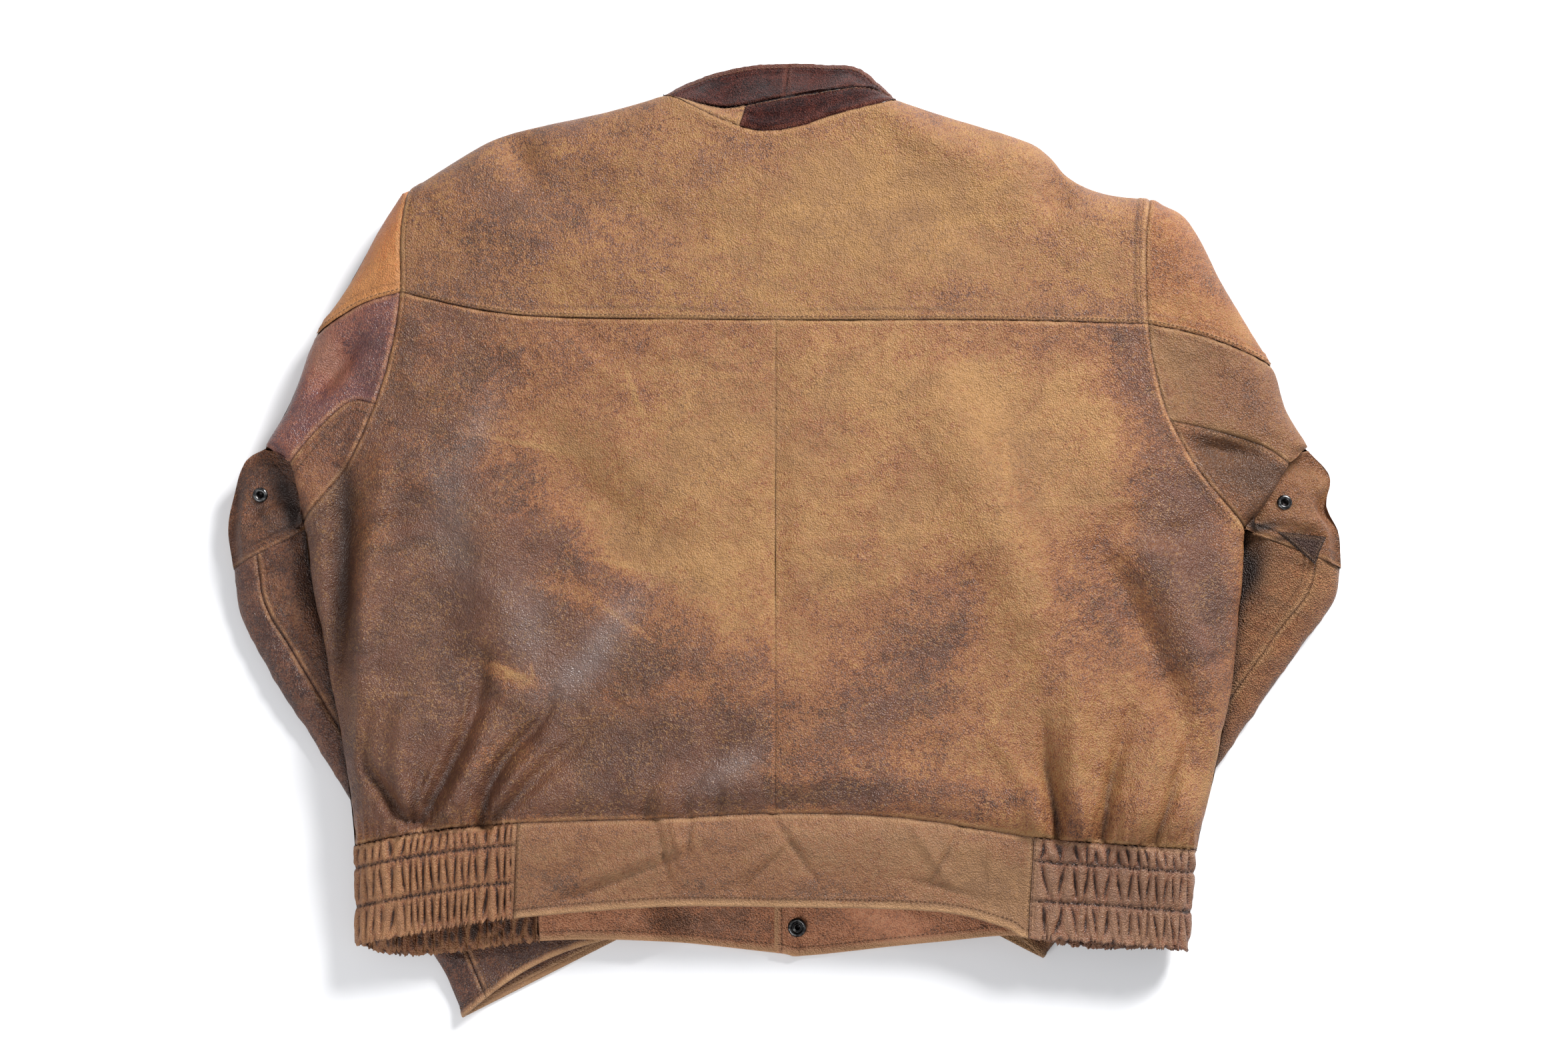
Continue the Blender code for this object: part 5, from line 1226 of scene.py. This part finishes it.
BAND_END_X, BAND_THICK, BAND_ROLL = (3.5, -6.0), 2.5, 1.2
TAB_START, TAB_LIFT = 14, 2.5
HEM_STITCH, END_STITCH = 5.0, 4.1
# the band's colours are paler than its hide: painted light, to make up for the shade it lies in under the back's
# hem
front_band_painted_light_leather = leather("front_band_painted_light_leather", (0.80, 0.385, 0.205), (0.390, 0.180, 0.108), balance=-0.05)
for side, name in enumerate(NAMES):
    sign = (1, -1)[side]
    end_x = BAND_END_X[side]
    waist = stretch(FRONT_WAIST[side], FRONT_END[side] - END_SLANT * sign, ZIP_X[side])
    waist = np.vstack([waist, [[end_x, FRONT_WAIST_Y]]])
    hem = stretch(front_hem, FRONT_END[side], end_x)
    start, end = np.array([waist[0], hem[0]]), np.array([waist[-1], hem[-1]])
    plan = fill(waist, hem, start, end)
    low = under_height(plan)
    if side == 1:
        low = low + TAB_LIFT * ease((TAB_START - plan[..., 0]) / 6)
    seams = [(hem, "hem"), (start, "groove")] + ([(end, "hem")] if side == 1 else [])
    small = relief(plan, seams, 81 + side, wrinkles=1.1, along=0.4, longer=1.6)
    outside = with_height(plan, low + OFF_TABLE)
    inside = with_height(plan, low + BAND_THICK + np.maximum(small, -0.8))[::-1]
    mid = (outside[-1] + inside[0]) / 2
    out = outside[-1] - outside[-3]
    out[:, 2] = 0
    out /= np.linalg.norm(out, axis=-1, keepdims=True)
    angles = np.linspace(0, np.pi, 9)[1:-1]
    roll = [mid + (outside[-1] - mid) * np.cos(a) + out * BAND_ROLL * np.sin(a) for a in angles]
    grid = np.concatenate([outside, roll, inside])
    core = (outside + inside[::-1]) / 2
    middle = np.concatenate([core, [mid] * len(roll), core[::-1]])
    end_columns = []
    for a in np.radians([30, 60, 90]):
        column = middle[:, -1] + (grid[:, -1] - middle[:, -1]) * np.cos(a)
        column[:, 0] += sign * 1.1 * np.sin(a)
        end_columns.append(column)
    grid = np.concatenate([grid, np.stack(end_columns, axis=1)], axis=1)
    marks = marks_near(grid[..., :2], seams, [("dark", (-60, -300), (60, 14), 0, -0.3)])
    TOP[f"waistband_front_{name}"] = grid[len(outside) + len(roll):]
    THREADS.append((beside(hem, sign * HEM_STITCH), f"waistband_front_{name}"))
    if side == 1:
        THREADS.append((beside(end, END_STITCH), f"waistband_front_{name}"))
    band = cloth(f"waistband_front_{name}", grid, front_band_painted_light_leather, "band_leather", up=-1, **marks)

# ---- The fronts: two panels of hide under everything else, flat on the table and lifted over the lower
# sleeves.  They are sewn to the back along the sides and shoulders, and close with the zip.

FRONT_NECK = [(-92, 322), (-62, 284), (-3, 262)], [(84, 319), (58, 283), (9, 262)]
for side, name in enumerate(NAMES):
    head, blade, pit = armholes[side]
    outer = join(head, blade, pit, flanks[side])
    top = join(shoulders[side], curve(FRONT_NECK[side]))
    middle = np.array([top[-1], (ZIP_X[side], FRONT_WAIST_Y)])
    plan = fill(top, FRONT_WAIST[side], outer, middle, rows=strides(600, cell=4), columns=strides(320, cell=4))
    z = under_height(plan)
    z[:, 0] = np.where(plan[:, 0, 1] < pit[-1, 1], top_height(plan[:, 0]), z[:, 0])
    near_shoulder = nearest(plan[0], shoulders[side])[0] < 0.6
    z[0] = np.where(near_shoulder, top_height(plan[0]), z[0])
    front = cloth(f"front_{name}", with_height(plan, z + 0.1), plain_leather, "back_leather", up=-1,
                  **marks_near(plan, [(outer, "groove")]))

# ---- The collar, of dark red hide: a stand with a tan piece joined on at its left end, and a fall in two
# halves.  The fall is spread up, away from the neck, and its edge is turned in and stitched.

FALL_SEAM = [(-92, 323, 24), (-73, 317, 33), (-41, 311, 37), (1, 319, 37), (44, 327, 34), (66, 328, 31),
             (85, 320, 23)]
COLLAR_EDGE = [(-93, 325, 17), (-67, 339, 15), (-32, 350, 13), (0, 353, 12), (33, 352, 12), (59, 348, 13),
               (86, 322, 16)]
UNDER_FALL = [(-92, 323), (-62, 299), (-3, 279)], [(85, 320), (60, 298), (9, 279)]
UNDER_EDGE = [(-93, 325), (-62, 329), (-3, 332)], [(86, 322), (60, 328), (9, 332)]
STAND_JOIN, COLLAR_CENTRE = 0.36, 0.52   # shares of the way round over the neck, from the left
COLLAR_ROLL, FALL_SWELL, OVERHANG = 14.0, 4.5, 4.5
UNDER, OVER = 23, 150            # points round the collar: on each side under the fronts, and over the neck
SEAM_SHADE = 0.8
COLLAR_CREASES = [
    # name            from         to            half width, height
    ("left",          (-66, 319),  (-50, 340),   7, 1.8),
    ("left dip",      (-48, 314),  (-34, 340),   6, -1.5),
    ("centre left",   (-20, 318),  (-14, 346),   8, 1.3),
    ("centre right",  (22, 324),   (30, 348),    7, -1.4),
    ("right",         (50, 328),   (48, 346),    6, 1.5),
    ("right dip",     (70, 326),   (64, 340),    5, -1.4),
]
collar_leather = leather("collar_leather", (0.165, 0.046, 0.032), (0.026, 0.007, 0.007), balance=-0.1, speckle=0.8,
                         pebble=1.2, gloss=0.9, turn=2.0, shine=0.14)


def collar_ring(over, beneath):
    """A line of the collar from the left front, round the back of the neck, to the right front."""
    ends = []
    for corner, line in zip((over[0], over[-1]), beneath):
        line = spaced(curve(line), np.linspace(0, 1, UNDER + 1))
        line[0] = corner[:2]
        away = np.linalg.norm(line - line[0], axis=1)
        ends.append(with_height(line, corner[2] * (1 - rolled(away, COLLAR_ROLL))))
    return join(ends[0][::-1], spaced(over, np.linspace(0, 1, OVER)), ends[1])


neck_plan = spaced(neck_line, np.linspace(0, 1, OVER))
neck_over = with_height(neck_plan, top_height(neck_plan))
neck_ring = collar_ring(neck_over, FRONT_NECK)
fall_ring = collar_ring(curve(FALL_SEAM), UNDER_FALL)
edge_ring = collar_ring(curve(COLLAR_EDGE), UNDER_EDGE)


def between(low, high, rows, swell):
    """Rows of points between two rings, swelled up over the neck."""
    t = np.linspace(0, 1, rows)[:, None, None]
    over = ease((np.minimum(low, high)[None, :, 2:] - 12) / 12)
    return (1 - t) * low + t * high + swell * np.sin(np.pi * t) * over * np.array([0, 0, 1.0])


def collar_part(name, grid, columns, seams, seed, material, slot):
    """One piece of the collar, with its seams, its creases and its fine wrinkles."""
    grid = grid[:, columns]
    small = relief(grid[..., :2], seams, seed, wrinkles=1.3, along=1.4, longer=1.5)
    small = (small + folds(grid[..., :2], COLLAR_CREASES)) * ease((grid[..., 2] - 3) / 6)
    judged = slice(max(0, UNDER - columns.start), max(0, UNDER + OVER - columns.start))
    grid = grid + normals(grid, judged=judged) * small[..., None]
    if name.startswith("collar_fall"):
        grid = turned(grid, judged=judged, radius=1.3)
    TOP[name] = grid
    marks = marks_near(grid[..., :2], seams)
    shade, _ = nearest(grid[..., :2], fall_over_line[::4])
    marks["dirt_and_shade"] = np.maximum(marks["dirt_and_shade"], SEAM_SHADE * hump(shade, 1.8))
    marks["edge"] = 0.1 * marks["edge"]
    piece = cloth(name, grid, material, slot, judged=judged, **marks)


middle_line = (neck_ring + fall_ring) / 2
stand = np.concatenate([between(neck_ring, middle_line, 20, 0.8), between(middle_line, fall_ring, 20, 0.8)[1:]])
fall = between(fall_ring, edge_ring, 44, FALL_SWELL)
roll = np.linspace(0, 1, 44)[:, None]
overhang = OVERHANG * np.sin(np.pi * np.clip(roll * 2.2, 0, 1)) * ease((fall[..., 2] - 18) / 8)
fall[..., 1] -= overhang
fall[..., 2] += 0.9 * overhang
join_at, centre = (UNDER + int(OVER * share) for share in (STAND_JOIN, COLLAR_CENTRE))
end_seam = stand[:, join_at, :2]
centre_seam = fall[:, centre, :2]
rings = neck_ring, fall_ring, edge_ring
neck_over_line, fall_over_line, edge_over_line = (ring[UNDER:UNDER + OVER, :2] for ring in rings)
stand_seams = [(neck_over_line, "groove"), (fall_over_line, "groove"), (end_seam, "groove")]
collar_part("collar_stand_left", stand, slice(0, join_at + 1), stand_seams, 91, yoke_leather,
            "back_leather")
collar_part("collar_stand", stand, slice(join_at, None), stand_seams, 92, collar_leather, "collar_leather")
fall_seams = [(fall_over_line, "groove"), (edge_over_line, "hem"), (centre_seam, "groove")]
collar_part("collar_fall_left", fall, slice(0, centre + 1), fall_seams, 93, collar_leather, "collar_leather")
collar_part("collar_fall_right", fall, slice(centre, None), fall_seams, 94, collar_leather, "collar_leather")

# ---- The small insert beside the right elbow: a triangle of dark pebbled leather, cut on its own.
# It is laid on the underarm piece, and its edges are sewn down flat.

INSERT = [(364, -10), (400, -14), (392, -34)]
INSERT_THICK, RIM_THIN, RIM_WIDTH = 1.5, 1.0, 2.0
insert_leather = leather("insert_leather", (0.110, 0.055, 0.038), (0.035, 0.015, 0.012), pebble=2.6, gloss=0.6)
corners = np.array(INSERT, float)
plan = fill(corners[:2], corners[[2, 2]] + np.array([[-0.4, 0], [0.4, 0]]),
            corners[[0, 2]], corners[[1, 2]], rows=np.linspace(0, 1, 24), columns=np.linspace(0, 1, 36))


def set_down(plan, over, away):
    """Points of a plan set on a grid of points that lies beneath it, at a distance along the normals."""
    cells = over.reshape(-1, 3)
    facing = normals(over, judged=slice(0, 20)).reshape(-1, 3)
    facing = facing * np.sign(facing[:, 2:])
    flat = plan.reshape(-1, 2)
    d = np.linalg.norm(flat[:, None] - cells[None, :, :2], axis=-1)
    close = np.argsort(d, axis=1)[:, :4]
    weight = 1 / (np.take_along_axis(d, close, axis=1) + 0.3)**2
    weight /= weight.sum(axis=1, keepdims=True)
    height = (cells[close, 2] * weight).sum(axis=1)
    push = (facing[close] * weight[..., None]).sum(axis=1)
    return (np.column_stack([flat, height]) + push * away).reshape(*plan.shape[:-1], 3)


grid = set_down(plan, LOWER[1], INSERT_THICK)
rim = np.vstack([corners, corners[:1]])
rim_distance, _ = nearest(plan, rim)
grid[..., 2] -= RIM_THIN * (1 - ease(rim_distance / RIM_WIDTH))
insert = cloth("elbow_insert_right", grid, insert_leather, "collar_leather", **marks_near(plan, [(rim, "groove")]))

# ---- The front zip, closed under the jacket: two woven tapes sewn to the edges of the fronts, two rows of
# metal teeth clamped on them and a plain slider.


def yarn(name, scale, dark, light, roughness):
    """A material for woven tape and for thread."""
    shader = Shader(name)
    tone = shader.range(shader.noise(scale, 2), 0.35, 0.65)
    return shader.finish(Base_Color=shader.mix(tone, dark, light), Roughness=roughness)


tape_cloth = yarn("zip_tape_cloth", 900, (0.050, 0.032, 0.022), (0.085, 0.055, 0.038), 0.9)
ZIP_MIDDLE, TAPE_Z, TAPE_DIP = 3, 1.5, 0.3
TOOTH_PITCH, TOOTH, TOOTH_OUT = 2.6, (3.2, 1.3, 0.9), 1.2
SLIDER, SLIDER_BELOW, SLIDER_Z = (8, 10, 1.3), 9, 0.75
zip_y = np.linspace(FRONT_NECK[0][-1][1] - 2, FRONT_WAIST_Y + 2, 60)
zip_x = np.linspace(ZIP_X[0] - 1.5, ZIP_X[1] + 1.5, 13)
plan = np.stack(np.meshgrid(zip_x, zip_y), axis=-1)
tape_z = TAPE_Z - TAPE_DIP * hump(plan[..., 0] - ZIP_MIDDLE, 1.2)
tapes = cloth("front_zip", with_height(plan, tape_z), tape_cloth, "zip_tape", up=-1, **marks_near(plan, []))


def metal(name, colour, worn):
    """Dark nickel, dulled and a little scratched."""
    shader = Shader(name)
    wear = shader.range(shader.noise(420, 3, 0.6), 0.42, 0.68)
    return shader.finish(Base_Color=shader.mix(wear, colour, worn),
                         Roughness=shader.sum((wear, 0.25), (shader.noise(900, 2), 0.5)), Metallic=1.0)


dark_nickel = metal("dark_nickel", (0.060, 0.059, 0.061), (0.18, 0.176, 0.172))
# a near-black disc in the centre of each ring: painted shade for the hole through it
hollow = metal("painted_hole_shade", (0.006, 0.005, 0.005), (0.012, 0.010, 0.010))


def joined(name, points, faces, material):
    """One mesh of many small parts, from their points in millimetres."""
    data = bpy.data.meshes.new(name)
    data.from_pydata(((points + SHIFT) * MM).tolist(), [], faces.tolist())
    data.materials.append(material)
    data.update()
    thing = bpy.data.objects.new(name, data)
    bpy.context.scene.collection.objects.link(thing)
    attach(thing, "root")
    return thing


cube = np.array([(x, y, z) for x in (-1, 1) for y in (-1, 1) for z in (-1, 1)]) / 2
cube_faces = np.array([(0, 1, 3, 2), (4, 6, 7, 5), (0, 4, 5, 1), (2, 3, 7, 6), (0, 2, 6, 4), (1, 5, 7, 3)])
teeth_y = np.arange(zip_y[-1] + 3, zip_y[0] - 14, TOOTH_PITCH / 2)
teeth = np.array([(ZIP_MIDDLE + (TOOTH_OUT, -TOOTH_OUT)[k % 2], y, TAPE_Z - 0.5) for k, y in enumerate(teeth_y)])
slider = np.array([ZIP_MIDDLE, zip_y[0] - SLIDER_BELOW, SLIDER_Z]) + cube * SLIDER
points = np.concatenate([teeth[:, None] + cube * TOOTH, slider[None]]).reshape(-1, 3)
faces = (np.arange(len(teeth) + 1)[:, None, None] * len(cube) + cube_faces).reshape(-1, 4)
joined("zip_teeth", points, faces, dark_nickel)

# ---- The eyelets at the underarms and the snap socket on the tab: turned rings of dark nickel, each pressed
# through the leather.  The snap has a dark tube in its centre, and a near-black disc in each centre is painted
# shade for the hole.

EYELETS = [(-388, 17), (369, 11)]
EYELET_RING = [(0.0, 0.3), (2.3, 0.3), (2.5, 0.6), (2.9, 1.1), (3.6, 1.45), (4.6, 1.2), (5.4, 0.5), (5.6, -0.2)]
SNAP_PROFILE = [(0.0, 0.6), (1.7, 0.6), (1.8, 1.9), (2.1, 2.2), (2.5, 2.1), (2.7, 0.6), (3.4, 0.4), (4.0, 0.6),
                (4.4, 1.5), (5.1, 2.0), (6.1, 1.7), (6.8, 0.8), (7.0, -0.2)]


def landed(spots, *pieces, height=80.0):
    """The highest points of some pieces of leather at plan points, and the normals there."""
    points, faces, first = [], [], 0
    for piece in pieces:
        index = numbered(TOP[piece], first)
        faces += grid_faces(index).tolist()
        points += TOP[piece].reshape(-1, 3).tolist()
        first += index.size
    tree = BVHTree.FromPolygons(points, faces)
    found, facing = [], []
    for x, y in spots:
        hit, normal, *_ = tree.ray_cast(Vector((x, y, height)), Vector((0, 0, -1)))
        if hit is not None:
            found.append(hit[:])
            facing.append((normal * (1 if normal.z > 0 else -1))[:])
    return np.array(found), np.array(facing)


def turned_ring(name, piece, spot, profile, reach, steps=64):
    """A ring of revolution seated on the leather, square to it."""
    spots = [(spot[0] + reach * np.cos(a), spot[1] + reach * np.sin(a)) for a in np.linspace(0, 2 * np.pi, 12)]
    found, facing = landed(spots, piece)
    up = facing.mean(axis=0)
    up /= np.linalg.norm(up)
    side = np.cross(up, (0, 1, 0))
    side /= np.linalg.norm(side)
    other = np.cross(up, side)
    level = ((found - found.mean(axis=0)) @ up).max() * 0.5
    centre = found.mean(axis=0) + up * level
    angles = np.linspace(0, 2 * np.pi, steps, endpoint=False)
    circle = np.cos(angles)[:, None] * side + np.sin(angles)[:, None] * other
    rings = np.array([centre + r * circle + z * up for r, z in profile])
    index = numbered(rings)
    faces = grid_faces(np.column_stack([index, index[:, 0]]))
    ring = joined(f"{name}_turned", rings.reshape(-1, 3), faces, dark_nickel)
    ring.data.materials.append(hollow)
    for face in ring.data.polygons:
        face.use_smooth = True
        face.material_index = int(face.index < steps * 2)
    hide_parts(name)


for name, spot in zip(NAMES, EYELETS):
    turned_ring(f"eyelet_{name}", f"underarm_{name}", spot, EYELET_RING, 5.0)
turned_ring("snap_ring", "waistband_front_right", SNAP[:2], SNAP_PROFILE, 6.0)

# ---- The stitches: brown thread, sunk a little in the leather beside each seam, along the turned edges and
# on the shirring lines of the elastic sides.

STITCH_PITCH, STITCH_LENGTH, THREAD = 3.3, 2.5, 0.30
STITCH_T = np.array([-1.0, -0.55, 0.0, 0.55, 1.0])              # along a stitch, from end to end
STITCH_THICK = np.array([0.45, 0.95, 1.0, 0.95, 0.45])
STITCH_ARCH = np.array([-0.30, 0.12, 0.22, 0.12, -0.30])
brown_thread = yarn("brown_thread", 600, (0.090, 0.040, 0.020), (0.200, 0.100, 0.048), 0.7)


def sewn(lines, seed=3):
    """Points and faces of the stitches along some lines."""
    chance = np.random.default_rng(seed)
    points, faces, first = [], [], 0
    angles = np.linspace(0, 2 * np.pi, 6, endpoint=False)
    for line, *pieces in lines:
        line = np.asarray(line)[:, :2]
        length = run_of(line)[-1]
        count = max(2, int(length / STITCH_PITCH))
        middles = spaced(line, (np.arange(count) + 0.5) / count)
        found, up = landed(middles, *pieces)
        if len(found) < 3:
            continue
        along = np.gradient(found, axis=0)
        along /= np.maximum(np.linalg.norm(along, axis=1, keepdims=True), 1e-9)
        along += chance.normal(0, 0.04, along.shape)
        near = np.linalg.norm(np.diff(found, axis=0, append=found[-1:]), axis=1) < 3 * STITCH_PITCH
        side = np.cross(along, up)
        for middle, a, n, s in zip(found[near], along[near], up[near], side[near]):
            core = middle + STITCH_T[:, None] * a * STITCH_LENGTH / 2 + STITCH_ARCH[:, None] * n
            ring = np.cos(angles)[:, None] * s + np.sin(angles)[:, None] * n
            stitch = core[:, None] + STITCH_THICK[:, None, None] * THREAD * ring
            points.append(stitch.reshape(-1, 3))
            index = numbered(stitch, first)
            after = np.roll(index, -1, axis=1)
            faces.append(np.stack([index[:-1], index[1:], after[1:], after[:-1]], axis=-1).reshape(-1, 4))
            first += index.size
    return np.concatenate(points), np.concatenate(faces)


THREADS += [
    (beside(yoke_line, 2.3), "back_yoke"),
    (beside(edge_over_line, -3.2), "collar_fall_left", "collar_fall_right"),
    (beside(fall_over_line, -2.0), "collar_stand_left", "collar_stand"),
    (beside(end_seam, 2.0), "collar_stand_left"),
    (beside(hem_back, 5.4), "waistband_back"),
    (beside(left_end, 2.0), "waistband_back"),
    (beside(right_end, -1.5), "waistband_back"),
    (beside(right_end, 1.5), "elastic_right"),
]
for side, name in enumerate(NAMES):
    head, blade, pit = armholes[side]
    sign = (1, -1)[side]
    THREADS += [
        (beside(join(head, blade, pit), sign * STITCH_IN), "back_yoke", f"back_{name}"),
        (beside(cap_seams[side], sign * -2.4), f"sleeve_cap_{name}"),
        *((beside(gusset_seams[side], sign * k), f"underarm_{name}") for k in TWIN),
    ]
points, faces = sewn(THREADS)
joined("stitches", points, faces, brown_thread)


# ---- The table, the camera and the light: a plain pale surface, and a camera that looks down from the hem
# side, a little off the vertical.  A soft window light comes from beyond the collar on the right, a weaker
# one from the hem side on the left, and the room around is pale.

TABLE_GAP = 0.0006
table = bpy.data.meshes.new("table")
table.from_pydata([(-4, -4, 0), (4, -4, 0), (4, 4, 0), (-4, 4, 0)], [], [(0, 1, 2, 3)])
table.materials.append(Shader("pale_table").finish(Roughness=0.9, Base_Color=(0.90, 0.90, 0.915, 1)))
floor = bpy.data.objects.new("table", table)
floor.location.z = -TABLE_GAP
bpy.context.scene.collection.objects.link(floor)

CAMERA_TILT, CAMERA_DISTANCE, LENS = np.radians(8), 1.65, 50.5
eye = bpy.data.objects.new("camera", bpy.data.cameras.new("camera"))
eye.data.lens = LENS
eye.data.sensor_width = 36
aim = Vector(SHIFT * MM)
eye.location = aim + Vector((0, -np.sin(CAMERA_TILT), np.cos(CAMERA_TILT))) * CAMERA_DISTANCE
eye.rotation_euler = (CAMERA_TILT, 0, 0)
bpy.context.scene.collection.objects.link(eye)
bpy.context.scene.camera = eye

for name, place, size, power in (("window", (1.3, 1.6, 1.4), 0.8, 114), ("room", (-1.1, -1.5, 1.7), 1.4, 32)):
    lamp = bpy.data.lights.new(name, "AREA")
    lamp.size, lamp.energy = size, power
    light = bpy.data.objects.new(name, lamp)
    light.location = place
    light.rotation_euler = Vector(place).to_track_quat("Z", "Y").to_euler()
    bpy.context.scene.collection.objects.link(light)
world = bpy.data.worlds.new("studio")
world.use_nodes = True
room = world.node_tree.nodes["Background"].inputs
room["Color"].default_value = (0.95, 0.97, 1.0, 1)
room["Strength"].default_value = 0.37
bpy.context.scene.world = world
bpy.context.scene.view_settings.view_transform = "Standard"
